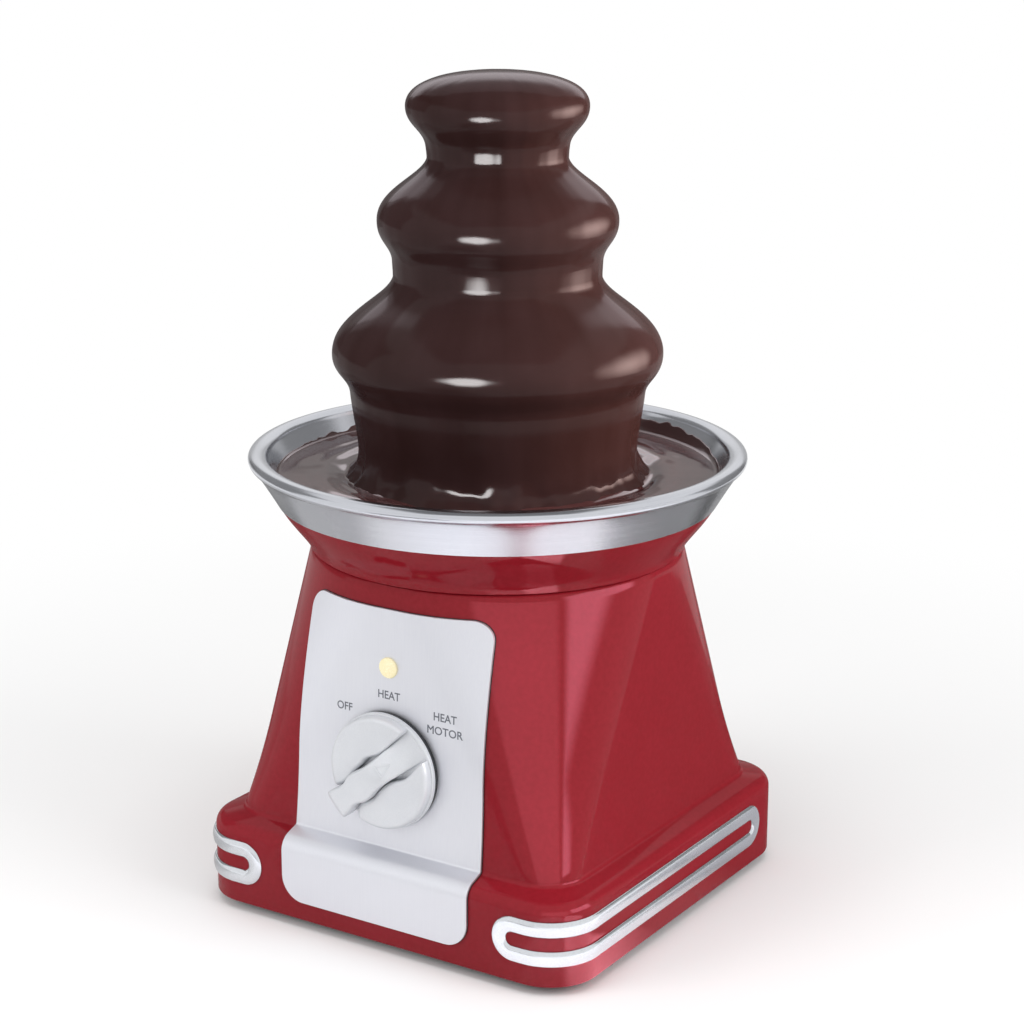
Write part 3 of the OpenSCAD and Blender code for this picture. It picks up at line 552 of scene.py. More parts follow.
# Finishes of the solids that keep their own shape, by the record's material slot.
SLOT_FINISH: dict[str, Finish] = {
    "steel": TIER_STEEL, "black_rubber": BLACK_RUBBER, "black_plastic": BLACK_PLASTIC, "zinc": ZINC,
    "bronze": BRONZE, "copper": COPPER, "aluminium": ALUMINIUM, "lamination": LAMINATION,
    "nylon": NYLON, "phenolic": CERAMIC,
}


class Carrier(Enum):
    """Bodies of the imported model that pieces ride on."""

    BASE = "base"
    KNOB = "knob"
    DRIVE = "drive"
    TOWER = "tower"


def dress(piece: bpy.types.Object, finish: Finish, carrier: Carrier, slot: str, *nodes: str) -> None:
    """Gives a piece its finish and its place in the model.

    Args:
        piece: the finished mesh.
        finish: its material.
        carrier: the body that it moves with.
        slot: the record's material slot; not used.
        nodes: solids that it stands for.
    """
    if not piece.data.materials:
        piece.data.materials.append(finish.material())
    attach(piece, carrier.value)
    if nodes:
        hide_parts(*nodes)
    LOG.info("%s rides on %s, %d faces", piece.name, carrier.value, len(piece.data.polygons))


# Sub-assemblies

@dataclass
class Housing:
    """Square plinth, tapering body and the flared collar under the bowl.

    Attributes:
        plinth_hw, plinth_r: half width and corner radius of the plinth.
        z_low, z_mid, z_wall: heights of its lower edge, its middle and its upper edge.
        edge: rounding of the lower edge.
        shoulder: radius of the upper edge.
        slope: fall of the ledge in degrees.
        fillet: radius between the ledge and the body.
        body_hw, body_r: half width and corner radius of the body's foot.
        flare, flare_h: how far the foot stands out, and over what height.
        neck_hw, neck_r, z_neck: half width, corner radius and height of the neck.
        rim: rounding of the neck's edge.
        wall: thickness of the moulding.
        neck_h: height of the neck's thin wall.
        inner_body, inner_ledge: distance from the outer face and height of two bends inside.
        inner_wall: height of the plinth's thin wall.
        collar_r, z_collar: radius and height of the collar's edge.
        seat, slack, tongue: the collar's height over the neck, play in it and depth below it.
    """

    plinth_hw: float = 96.75
    plinth_r: float = 22.0
    z_low: float = 4.0
    z_mid: float = 20.0
    z_wall: float = 35.0
    edge: float = 0.9
    shoulder: float = 6.0
    slope: float = 18.0
    fillet: float = 2.5
    body_hw: float = 85.75
    body_r: float = 18.0
    flare: float = 1.7
    flare_h: float = 38.0
    neck_hw: float = 81.5
    neck_r: float = 80.5
    z_neck: float = 159.0
    rim: float = 1.2
    wall: float = 2.5
    neck_h: float = 30.0
    inner_body: Point = (4.2, 42.0)
    inner_ledge: Point = (6.5, 38.0)
    inner_wall: float = 33.0
    collar_r: float = 96.25
    z_collar: float = 180.0
    seat: float = 0.1
    slack: float = 0.3
    tongue: float = 6.0

    CORNER_STEPS = 20
    BODY_STEPS = 36

    @property
    def ledge_out(self) -> Point:
        """Where the shoulder meets the sloping ledge."""
        s = math.radians(self.slope)
        return (self.plinth_hw - self.shoulder * (1 - math.sin(s)), self.z_wall + self.shoulder * math.cos(s))

    @property
    def z_body(self) -> float:
        """Height where the fillet ends and the body starts.

        Returns:
            The height.
        """
        s = math.radians(self.slope)
        x, z = self.ledge_out
        foot = self.body_hw + self.fillet * (1 - math.sin(s))
        return z + (x - foot) * math.tan(s) + self.fillet * math.cos(s)

    def face(self, z: float) -> float:
        """Half width of the body.

        Args:
            z: height.

        Returns:
            The half width, with the flare of the foot.
        """
        t = (z - self.z_body) / (self.z_neck - self.z_body)
        e = max(0.0, 1 - (z - self.z_body) / self.flare_h)
        line = self.body_hw - self.flare
        return line + (self.neck_hw - line) * t + self.flare * e * e

    def body_row(self, z: float, d: float = 0.0) -> Triple:
        """Half width, height and corner radius of the body at a height, moved out by d."""
        t = (z - self.z_body) / (self.z_neck - self.z_body)
        return (self.face(z) + d, z, self.body_r + (self.neck_r - self.body_r) * t + d)

    def lower_rows(self, d: float = 0.0) -> list[Triple]:
        """Rows of the shoulder, ledge and fillet.

        Args:
            d: distance in front of the surface.

        Returns:
            Half width, height and corner radius of each row, going up.
        """
        bend = arc((self.plinth_hw - self.shoulder, self.z_wall), self.shoulder + d, 0, 90 - self.slope, 10)
        root = arc((self.body_hw + self.fillet, self.z_body), self.fillet - d, 270 - self.slope, 180, 8)
        return ([(w, z, self.plinth_r - self.plinth_hw + w) for w, z in bend]
                + [(w, z, self.body_r - self.body_hw + w) for w, z in root])

    def ring(self, row: Triple) -> list[Triple]:
        """Points of one row, a square with round corners.

        Args:
            row: half width, height, corner radius.

        Returns:
            The closed loop.
        """
        w, z, r = row
        out = []
        for k, (sx, sy) in enumerate(((1, 1), (-1, 1), (-1, -1), (1, -1))):
            for i in range(self.CORNER_STEPS + 1):
                a = math.pi / 2 * (k + i / self.CORNER_STEPS)
                out.append((sx * (w - r) + r * math.cos(a), sy * (w - r) + r * math.sin(a), z))
        return out

    @staticmethod
    def depth(row: Triple, x: float) -> float:
        """Depth of a row's outline.

        Args:
            row: half width, height, corner radius.
            x: distance from the middle of the front.

        Returns:
            Distance of the outline in front of the axis.
        """
        w, _, r = row
        e = max(0.0, abs(x) - (w - r))
        return w - r + math.sqrt(r * r - e * e)

    def build_shell(self) -> None:
        """The moulded plinth and body in one shell."""
        hw, pr, low, wall = self.plinth_hw, self.plinth_r, self.z_low, self.wall
        plinth = ((wall, low), (self.edge, low), (0.3, low + 0.25), (0.0, low + self.edge), (0.0, self.z_mid))
        rows = [(hw - d, z, pr - d) for d, z in plinth] + self.lower_rows()
        climb, n = self.z_neck - self.rim - self.z_body, self.BODY_STEPS
        rows += [self.body_row(self.z_body + climb * i / n) for i in range(1, n + 1)]
        w, z, r = self.body_row(self.z_neck)
        rows += [(w - d, z - drop, r - d) for d, drop in ((0.35, 0.35), (self.rim, 0.0), (wall, 0.0))]
        body, ledge = self.inner_body, self.inner_ledge
        rows += [self.body_row(self.z_neck - self.neck_h, -wall),
                 (self.body_hw - body[0], body[1], self.body_r - body[0]),
                 (hw - ledge[0], ledge[1], pr - ledge[0]), (hw - wall, self.inner_wall, pr - wall)]
        piece = mesh_piece("housing_shell", *skin([self.ring(row) for row in rows], closed=True))
        dress(piece, RED_ABS, Carrier.BASE, "red_plastic", "housing")

    def build_collar(self) -> None:
        """The flared ring between body and bowl."""
        hw, low, wall = self.neck_hw, self.z_neck, self.wall
        seat, foot = low + self.seat, low - self.tongue
        flare = cubic((hw + 0.8, seat), (hw + 1.4, low + 5), (self.collar_r - 5, self.z_collar - 9),
                      (self.collar_r, self.z_collar), 28)
        inner = beside(flare, -wall)[6:]
        tongue = hw - wall - self.slack
        outline = [(hw - 0.2, seat), (hw + 0.5, low + 0.25)] + flare[1:] + inner[::-1]
        outline += [(tongue - wall, low + 1.5), (tongue - wall, foot), (tongue, foot), (tongue, seat)]
        dress(turned("collar_ring", outline, 160), RED_ABS, Carrier.BASE, "red_plastic", "bowl_collar")

    def build(self) -> None:
        """Shell and collar."""
        self.build_shell()
        self.build_collar()


@dataclass
class TrimLoop:
    """Bright bar that runs in a closed loop round a front corner of the plinth.

    Attributes:
        housing: what it lies on.
        side: 1 for the right corner, -1 for the left.
        front, back: where the loop ends on the plinth's front, from its middle, and on its side.
        low, height: the loop's lower edge and height.
        bar, proud: the bar's width and height over the plinth.
        seat, foot: height of the bar's back over the plinth, and of its side.
    """

    housing: Housing
    side: int
    front: float = 60.0
    back: float = 70.0
    low: float = 13.5
    height: float = 20.0
    bar: float = 7.0
    proud: float = 1.6
    seat: float = 0.1
    foot: float = 0.3

    RUN_STEPS = 90
    BEND_STEPS = 24

    def on_plinth(self, u: float, z: float, out: float) -> Triple:
        """A point on the plinth's wall.

        Args:
            u: way along the wall from the middle of the front.
            z: height.
            out: distance in front of the wall.

        Returns:
            The point.
        """
        hw, r = self.housing.plinth_hw, self.housing.plinth_r
        flat, bend = hw - r, r * math.pi / 2
        if u < flat:
            p = (u, -hw - out)
        elif u < flat + bend:
            a = (u - flat) / r
            p = (flat + (r + out) * math.sin(a), -flat - (r + out) * math.cos(a))
        else:
            p = (hw + out, -flat + u - flat - bend)
        return (self.side * p[0], p[1], z)

    def build(self) -> None:
        """A rounded bar swept along the loop."""
        hw, r = self.housing.plinth_hw, self.housing.plinth_r
        mid = self.low + self.height / 2
        rad = (self.height - self.bar) / 2
        start = self.front + self.height / 2
        end = (hw - r) + r * math.pi / 2 + (hw - r) + self.back - self.height / 2
        line: list[tuple[float, float, float, float]] = []
        for u, stop, way in ((start, end, -1.0), (end, start, 1.0)):
            for i in range(self.RUN_STEPS):
                line.append((u + (stop - u) * i / self.RUN_STEPS, mid + way * rad, 0.0, way))
            for i in range(self.BEND_STEPS):
                a = way * math.pi / 2 + math.pi * i / self.BEND_STEPS
                line.append((stop + rad * math.cos(a), mid + rad * math.sin(a), math.cos(a), math.sin(a)))
        half, rise = self.bar / 2, self.proud - self.foot
        crown = [(half * x, self.foot + rise * y) for x, y in arc((0.0, 0.0), 1.0, 180, 0, 14)]
        section = [(-half, self.seat)] + crown + [(half, self.seat)]
        rings = [[self.on_plinth(u + o * du, z + o * dz, out) for o, out in section] for u, z, du, dz in line]
        hand = "right" if self.side > 0 else "left"
        piece = mesh_piece("trim_loop_" + hand, *skin(rings, closed=True), crease=50)
        dress(piece, BRIGHT_BAR, Carrier.BASE, "chrome", "trim_" + hand)


@dataclass
class Bowl:
    """Spun steel bowl with a rolled rim and an outer skirt on the collar.

    Attributes:
        rim_r, z_rim: widest radius and height of the rim.
        z_floor: height of the floor.
        bead: half width and half height of the rolled rim.
        sheet: thickness of the steel.
        hub_r, mid_r: radius of the shaft's hole and of a point of the level floor.
        foot: radius and height where the skirt meets the collar.
    """

    rim_r: float = 108.75
    z_rim: float = 201.4
    z_floor: float = 172.0
    bead: Point = (4.1, 2.8)
    sheet: float = 1.0
    hub_r: float = 9.0
    mid_r: float = 40.0
    foot: Point = (96.55, 180.1)

    def inside(self) -> list[Point]:
        """Path of the wall from the floor to the rolled rim."""
        return cubic((self.rim_r - 36, self.z_floor), (self.rim_r - 23, self.z_floor),
                     (self.rim_r - 15, self.z_rim - 15),
                     (self.rim_r - 2 * self.bead[0], self.z_rim - self.bead[1]), 40)

    def wall_radius(self, z: float) -> float:
        """Radius of the inside.

        Args:
            z: height.

        Returns:
            The radius, and above the wall the radius of its end.
        """
        path = self.inside()
        for (r0, z0), (r1, z1) in zip(path, path[1:]):
            if z0 <= z <= z1 and z1 > z0:
                return r0 + (r1 - r0) * (z - z0) / (z1 - z0)
        return path[-1][0]

    def build(self) -> None:
        """The sheet as one turned solid."""
        wide, tall = self.bead
        roll = [(self.rim_r - wide + wide * x, self.z_rim - tall + tall * y)
                for x, y in arc((0.0, 0.0), 1.0, 180, -58, 30)]
        last, foot = roll[-1], self.foot
        skirt = cubic(last, (last[0] - 1.2, last[1] - 1.2), (foot[0] + 5.0, foot[1] + 8.5), foot, 18)
        path = [(self.hub_r, self.z_floor), (self.mid_r, self.z_floor)] + self.inside() + roll[1:] + skirt[1:]
        under = beside(path, self.sheet)
        piece = turned("steel_bowl", path + under[::-1], 192)
        dress(piece, STEEL, Carrier.BASE, "steel", "bowl")


@dataclass
class ControlPanel:
    """Silver sheet that follows plinth, ledge and body, with its lamp and lettering.

    Attributes:
        housing: what it lies on.
        half: half width below the ledge.
        taper, taper_z, taper_h: how much each side draws in, from what height and over what height.
        low, high: heights of its lower and upper edge.
        low_r, high_r: radii of its lower and upper corners.
        seat, sheet: distance of its back from the housing, and its thickness.
        edge: rounding of its edges.
        shadow_h, shadow_in, shadow_out: height over the seat, depth below it and width beyond the
        sheet of the dark strip under it, which is painted shade for the shadow gap round the sheet.
        lamp_z, lamp_r, lamp_d: height, radius and depth of the lamp's lens.
        cap: height of the letters.
    """

    housing: Housing
    half: float = 48.0
    taper: float = 2.0
    taper_z: float = 41.0
    taper_h: float = 118.0
    low: float = 13.0
    high: float = 149.0
    low_r: float = 11.0
    high_r: float = 9.0
    seat: float = 0.1
    sheet: float = 1.2
    edge: float = 0.35
    shadow_h: float = 0.3
    shadow_in: float = 0.05
    shadow_out: float = 0.2
    lamp_z: float = 123.7
    lamp_r: float = 4.5
    lamp_d: float = 7.0
    cap: float = 3.6

    ACROSS = 48
    CORNER_STEPS = 12
    BODY_STEPS = 40
    # The lens's dome: share of its radius, and height.
    DOME = ((0.8, 1.12), (0.55, 1.28), (0.3, 1.37), (0.0, 1.4))
    # Ends of the lettering's thickness, in front of the sheet's face and behind it.
    INK = (0.05, -0.03)
    # The switch positions: letters, name, middle across, height and width.
    WORDS = (("HEAT", "mark_heat", 0.2, 111.6, 11.2), ("OFF", "mark_off", -22.8, 102.6, 7.9),
             ("HEAT", "mark_heat_motor_upper", 28.6, 107.0, 11.4),
             ("MOTOR", "mark_heat_motor_lower", 28.6, 100.9, 17.8))

    def half_at(self, z: float) -> float:
        """Half width of the sheet at a height."""
        return self.half - self.taper * max(0.0, z - self.taper_z) / self.taper_h

    def rows(self, d: float, grow: float) -> list[tuple[float, float, float, float]]:
        """Rows of the sheet's face.

        Args:
            d: distance in front of the housing.
            grow: how far its outline stands outside the sheet's.

        Returns:
            Half width of the housing, height, corner radius and half width of the sheet.
        """
        h, n = self.housing, self.CORNER_STEPS
        out = []
        for i in range(n + 1):
            a = math.radians(90 * i / n)
            z = self.low + self.low_r - (self.low_r + grow) * math.cos(a)
            half = self.half - self.low_r + (self.low_r + grow) * math.sin(a)
            out.append((h.plinth_hw + d, z, h.plinth_r + d, half))
        out += [(w, z, r, self.half_at(z) + grow) for w, z, r in h.lower_rows(d)]
        top = self.high - self.high_r
        for i in range(1, self.BODY_STEPS):
            z = h.z_body + (top - h.z_body) * i / self.BODY_STEPS
            out.append((*h.body_row(z, d), self.half_at(z) + grow))
        for i in range(n + 1):
            a = math.radians(90 - 90 * i / n)
            z = top + (self.high_r + grow) * math.cos(a)
            half = self.half_at(z) - self.high_r + (self.high_r + grow) * math.sin(a)
            out.append((*h.body_row(z, d), half))
        return out

    def surface(self, x: float, z: float) -> float:
        """Depth of the sheet's face on the body at a place."""
        return self.housing.depth(self.housing.body_row(z, self.seat + self.sheet), x)

    def bent(self, name: str, face: float, back: float, grow: float) -> bpy.types.Object:
        """A sheet bent to the housing.

        Args:
            name: the piece's name.
            face, back: distances of its two sides from the housing.
            grow: how far its outline stands outside the panel's.

        Returns:
            The new object.
        """
        n = self.ACROSS
        points: list[Triple] = []
        for d in (face, back):
            for w, z, r, half in self.rows(d, grow):
                for j in range(n + 1):
                    x = half * (2 * j / n - 1)
                    points.append((x, -self.housing.depth((w, z, r), x), z))
        m, k = len(points) // 2, n + 1
        rows = m // k
        faces = []
        for i in range(rows - 1):
            for j in range(n):
                p = i * k + j
                faces += [[p, p + 1, p + k + 1, p + k], [m + p, m + p + k, m + p + k + 1, m + p + 1]]
        rim = ([j for j in range(n)] + [i * k + n for i in range(rows - 1)]
               + [(rows - 1) * k + j for j in range(n, 0, -1)] + [i * k for i in range(rows - 1, 0, -1)])
        for a, b in zip(rim, rim[1:] + rim[:1]):
            faces.append([a, m + a, m + b, b])
        return mesh_piece(name, points, faces, crease=50)

    def build_sheet(self) -> None:
        """The bent sheet with softened edges, on a thin dark strip of painted shade for the shadow gap round
        its edge.
        """
        piece = self.bent("panel_sheet", self.seat + self.sheet, self.seat, 0.0)
        soft = piece.modifiers.new("soft edge", "BEVEL")
        soft.width, soft.segments, soft.limit_method = self.edge * MM, 2, "ANGLE"
        soft.angle_limit = math.radians(50)
        dress(piece, SILVER_SHEET, Carrier.BASE, "panel_silver", "control_panel")
        # A black strip a little wider than the sheet: painted shade for the shadow gap at the sheet's edge.
        shadow_strip = self.bent("panel_shadow_strip", self.seat + self.shadow_h, self.seat - self.shadow_in,
                           self.shadow_out)
        dress(shadow_strip, BLACK_RUBBER, Carrier.BASE, "black_rubber")

    def build_lamp(self) -> None:
        """The domed lens of the pilot lamp."""
        r, e = self.lamp_r, 0.5
        outline = [(0.0, -self.lamp_d), (r, -self.lamp_d), (r, e)] + arc((r - e, e), e, 0, 70, 4)
        outline += [(r * share, height) for share, height in self.DOME]
        piece = to_front(turned("pilot_lamp", outline, 64), self.surface(0, self.lamp_z), self.lamp_z)
        dress(piece, LENS, Carrier.BASE, "lamp_plastic", "lamp_lens")

    def build_word(self, word: str, name: str, x: float, z: float, width: float) -> None:
        """One printed word, bent onto the sheet.

        Args:
            word: its letters.
            name: the piece's name.
            x, z: its middle.
            width: its width.
        """
        curve = bpy.data.curves.new(name, "FONT")
        curve.body, curve.extrude, curve.bevel_depth, curve.resolution_u = word, 0.004, 0.012, 4
        mesh = settled(link(name, curve), name)
        lo = [min(v.co[i] for v in mesh.vertices) for i in range(3)]
        hi = [max(v.co[i] for v in mesh.vertices) for i in range(3)]
        for v in mesh.vertices:
            px = x + width * ((v.co.x - lo[0]) / (hi[0] - lo[0]) - 0.5)
            pz = z + self.cap * ((v.co.y - lo[1]) / (hi[1] - lo[1]) - 0.5)
            out = self.INK[0] if v.co.z > 0 else self.INK[1]
            v.co = (px * MM, -(self.surface(px, pz) + out) * MM, pz * MM)
        weld_mesh(mesh)
        mesh.materials.clear()
        dress(link(name, mesh), GREY_INK, Carrier.BASE, "black_plastic")

    def build(self) -> None:
        """Sheet, lamp and the three switch positions."""
        self.build_sheet()
        self.build_lamp()
        for word in self.WORDS:
            self.build_word(*word)


@dataclass
class SwitchKnob:
    """Knob of the switch: a flange, two raised half faces and a lever across them.

    Attributes:
        back, height: distance of its back from the fountain's axis, and height of its middle.
        r, flange, edge: radius, thickness and rounding of the flange.
        face_r, face_h, soft: radius, height and edge rounding of the half faces.
        root: height where half faces start inside the flange.
        turn: the lever's direction in degrees.
    """

    back: float = 86.35
    height: float = 79.2
    r: float = 25.5
    flange: float = 2.4
    edge: float = 0.7
    face_r: float = 24.7
    face_h: float = 6.5
    soft: float = 2.0
    root: float = 1.2
    turn: float = 41.0

    # Along the lever: its half width, the gaps beside it above and below, its top and its underside.
    WIDTH = ((-28.3, 5.2), (-27.8, 6.0), (-26.0, 6.4), (-22, 6.1), (-18, 5.2), (-15, 5.4), (-12, 6.4),
             (-8, 6.6), (-4, 5.8), (0, 5.5), (5, 5.6), (10, 6.2), (16, 6.7), (24, 7.0))
    GAP_ABOVE = ((-28.0, 0.3), (-9, 0.3), (-5, 1.2), (-1, 2.3), (3, 1.4), (6, 0.3), (9, 0.05), (24, 0.05))
    GAP_BELOW = ((-28.0, 8.0), (-24, 6.0), (-22, 3.2), (-20, 1.2), (-17, 0.3), (1, 0.2), (5, 1.1), (9, 2.2),
                 (14, 2.0), (19, 0.9), (23, 0.2), (24, 0.1))
    TOP = ((-28.3, 7.4), (-27.0, 9.2), (-25.2, 10.7), (-21, 11.0), (-14, 11.0), (-6, 10.9), (0, 10.6),
           (4, 9.5), (9, 6.8), (14, 4.3), (19, 2.9), (24, 2.4))
    UNDER = ((-28.3, 3.0), (-24, 2.2), (-22, 1.4), (24, 1.2))
    # Where the lever's rings stand: close together at its nose, then each millimetre.
    STATIONS = (-28.3, -28.1, -27.8, -27.3, -26.7, -25.9, *(-25.0 + i for i in range(49)), 24.0)
    # A place inside a half face, along the lever and away from it, and the sizes of its rings.
    HALF_AT = (0.5, 15.2)
    HALF_RINGS = (1.0, 0.985, 0.965, 0.94, 0.91, 0.875, 0.83, 0.78, 0.7, 0.55, 0.35, 0.15)
    HALF_STEPS = 140
    # The pointer: its place along the lever, length, half width; size and height of its four edges.
    POINTER = (5.6, 3.8, 3.4)
    POINTER_RINGS = ((1.0, -0.3), (1.0, 0.4), (0.76, 0.4), (0.76, -0.3))
    # Radius and height of the dark ring behind the knob: the switch's bezel, made black as painted shade for
    # the shadow in the gap under the flange.
    BEZEL_AND_SHADE = ((18.0, -1.7), (25.2, -1.7), (25.2, -0.35), (25.0, -0.1), (18.0, -0.1))

    def place(self, s: float, t: float, w: float) -> Triple:
        """A point of the knob, from its own directions to the model's.

        Args:
            s: along the lever towards its pointer.
            t: across the lever.
            w: out of the panel.

        Returns:
            The point.
        """
        a = math.radians(self.turn)
        x, z = s * math.cos(a) - t * math.sin(a), s * math.sin(a) + t * math.cos(a)
        return (x, -self.back - w, self.height + z)

    def room(self, s: float, t: float) -> float:
        """Distance inside a half face's outline."""
        gap = between(self.GAP_ABOVE if t > 0 else self.GAP_BELOW, s)
        return min(self.face_r - math.hypot(s, t), abs(t) - between(self.WIDTH, s) - gap)

    def half_face(self, side: int) -> Solid:
        """One raised half.

        Args:
            side: 1 or -1, the side of the lever.

        Returns:
            Points and faces of a closed cushion-edged solid.
        """
        cs, ct = self.HALF_AT[0], side * self.HALF_AT[1]
        edge = []
        for i in range(self.HALF_STEPS):
            a = TAU * i / self.HALF_STEPS
            lo, hi = 0.0, 40.0
            for _ in range(40):  # halves the way to the outline
                mid = (lo + hi) / 2
                s, t = cs + mid * math.cos(a), ct + mid * math.sin(a)
                lo, hi = (mid, hi) if t * side > 0 and self.room(s, t) > 0 else (lo, mid)
            edge.append((lo * math.cos(a), lo * math.sin(a)))
        rings = [[self.place(cs + x, ct + y, self.root) for x, y in edge]]
        fall = self.soft * 0.8
        for k in self.HALF_RINGS:
            ring = []
            for x, y in edge:
                s, t = cs + x * k, ct + y * k
                q = 1 - min(max(self.room(s, t), 0) / self.soft, 1)
                crown = 0.5 * (1 - (math.hypot(s, t) / self.r) ** 2)
                ring.append(self.place(s, t, self.face_h - fall + fall * math.sqrt(1 - q * q) + crown))
            rings.append(ring)
        return skin(rings)

    def lever(self) -> Solid:
        """The lever.

        Returns:
            Points and faces of a closed bar with rounded upper edges.
        """
        rings = []
        for s in self.STATIONS:
            half, top, low = between(self.WIDTH, s), between(self.TOP, s), between(self.UNDER, s)
            e = min(1.5, half * 0.4, (top - low) * 0.45)
            lip = min(0.8, (top - low) * 0.2)
            ring = [(-half + 0.3, low), (-half, low + lip)] + arc((-half + e, top - e), e, 180, 90, 6)
            ring += [(-half * 0.5, top + 0.18), (0.0, top + 0.25), (half * 0.5, top + 0.18)]
            ring += arc((half - e, top - e), e, 90, 0, 6) + [(half, low + lip), (half - 0.3, low)]
            rings.append([self.place(s, t, w) for t, w in ring])
        return skin(rings)

    def pointer(self) -> Solid:
        """The small triangle on the lever.

        Returns:
            Points and faces of a raised outline.
        """
        at, length, half = self.POINTER
        rings = []
        for grow, lift in self.POINTER_RINGS:
            ring = []
            for a in (0.0, 120.0, 240.0):
                s = at + length * grow * math.cos(math.radians(a))
                t = half * grow * math.sin(math.radians(a))
                ring.append(self.place(s, t, between(self.TOP, s) + 0.2 + lift))
            rings.append(ring)
        return skin(rings, closed=True)

    def build(self) -> None:
        """Flange, half faces, lever and pointer in one piece, and behind them a dark ring, the bezel made
        black as painted shade for the gap's shadow.
        """
        e = self.edge
        outline = [(0.0, 0.0), (self.r - e, 0.0)] + arc((self.r - e, e), e, -90, 0, 4)[1:]
        outline += arc((self.r - e, self.flange - e), e, 0, 90, 4) + [(0.0, self.flange)]
        knob = to_front(turned("switch_knob", outline, 160), self.back, self.height)
        bm = bmesh.new()
        bm.from_mesh(knob.data)
        for solid in (self.half_face(1), self.half_face(-1), self.lever(), self.pointer()):
            part = mesh_piece("part", *solid)
            bm.from_mesh(part.data)
            bpy.data.objects.remove(part)
        bm.to_mesh(knob.data)
        bm.free()
        knob.data.shade_smooth()
        knob.data.set_sharp_from_angle(angle=math.radians(40))
        dress(knob, SILVER_ABS, Carrier.KNOB, "knob_plastic", "knob")
        # A black ring behind the flange: painted shade for the shadow in the gap between knob and panel.
        seat = to_front(turned("knob_bezel_and_shade", self.BEZEL_AND_SHADE, 128), self.back, self.height)
        dress(seat, BLACK_PLASTIC, Carrier.BASE, "black_plastic")


Tier = tuple[float, float, float, float]


@dataclass
class ChocolateFall:
    """The chocolate that runs over the three tiers, one unbroken coat.

    Attributes:
        z_top: top of the cap.
        film: thickness of the coat.
        lip_h: height of the lip under each tier's widest point.
        top, middle, lower: widest radius, its height, radius of the curtain, height where it ends.
        fold_z, fold_h: height where the lowest curtain starts to fold, and over what height.
        still_r: radius inside which the cap has no waves.
    """

    z_top: float = 363.8
    film: float = 2.0
    lip_h: float = 17.0
    top: Tier = (39.0, 349.3, 30.2, 327.3)
    middle: Tier = (51.7, 301.0, 44.8, 276.5)
    lower: Tier = (71.3, 244.0, 60.4, 190.0)
    fold_z: float = 204.0
    fold_h: float = 12.0
    still_r: float = 14.0

    # The spread foot of the lowest curtain: distance outside it, and height.
    FOOT = ((0.4, 197.6), (0.7, 195.6), (1.3, 193.8), (2.2, 192.4), (3.4, 191.2))
    FOOT_OUT = 4.6

    def dome(self, start: Point, tier: Tier) -> list[Point]:
        """Face of the coat from the curtain above to the tier's widest point."""
        dr, dz = tier[0] - start[0], start[1] - tier[1]
        return cubic(start, (start[0] + 0.1 * dr, start[1] - 0.3 * dz), (tier[0], tier[1] + 0.48 * dz),
                     (tier[0], tier[1]), 34)

    def lip(self, tier: Tier, r: float) -> list[Point]:
        """Face of the coat from the widest point into the curtain."""
        return cubic((tier[0], tier[1]), (tier[0], tier[1] - 0.5 * self.lip_h),
                     (r + 0.6, tier[1] - 0.6 * self.lip_h), (r, tier[1] - self.lip_h), 24)[1:]

    def path(self) -> list[Point]:
        """Outer face of the whole coat.

        Returns:
            Radius and height, from the top down.
        """
        t, m, w = self.top, self.middle, self.lower
        out = cubic((0.0, self.z_top), (0.56 * t[0], self.z_top), (t[0], self.z_top - 4.5), (t[0], t[1]), 34)
        for tier, below, bulge, step in ((t, m, 0.2, 1.6), (m, w, 0.25, 2.2)):
            out += self.lip(tier, tier[2] + 0.4) + [(tier[2] + bulge, tier[1] - self.lip_h - step)]
            out += [(tier[2] + 0.05, tier[3] + step)] + self.dome((tier[2], tier[3]), below)
        out += self.lip(w, w[2] + 3.6)
        out += cubic(out[-1], (w[2] + 2.7, 217.0), (w[2] + 0.3, 208.0), (w[2] + 0.2, 200.0), 14)[1:]
        return out + [(w[2] + d, z) for d, z in self.FOOT] + [(w[2] + self.FOOT_OUT, w[3])]

    def build(self) -> None:
        """The coat, with the soft waves of a slow fall and folds where it meets the pool."""
        path = self.path()
        outer = len(path)
        under = beside(path, self.film)[:2:-3] + [(0.0, self.z_top - self.film)]

        def flow(i: int, a: float, r: float, z: float) -> Point:
            """Moves a point of the coat with the fall.

            Args:
                i: its number in the outline.
                a: its angle.
                r, z: its radius and height.

            Returns:
                The new radius and height.
            """
            if i >= outer or r < 0.01:
                return (max(r, 0.0), z)
            # Broad waves and fine streaks.
            out = 0.3 * ripple(a, 6, z * 0.045, 4.1) + 0.16 * ripple(a, 24, z * 0.012, 1.7)
            # Each tier's lip hangs a little lower in some places.
            drop = 0.0
            for tier in (self.top, self.middle, self.lower):
                drop += 0.9 * ripple(a, 6, tier[1], 6.3) * ease(1 - abs(z - tier[1] + 8) / 15)
            # Folds at the foot, large and small.
            low = ease((self.fold_z - z) / self.fold_h)
            out += low * (0.5 + 2.0 * ripple(a, 13, z * 0.05, 8.4) + 1.2 * ripple(a, 30, z * 0.09, 2.9))
            return (r + out * ease(r / self.still_r), z + drop)

        piece = turned("chocolate_coat", path + under, 256, flow, crease=80)
        dress(piece, FALL, Carrier.TOWER, "chocolate", "chocolate_top", "chocolate_middle", "chocolate_lower")


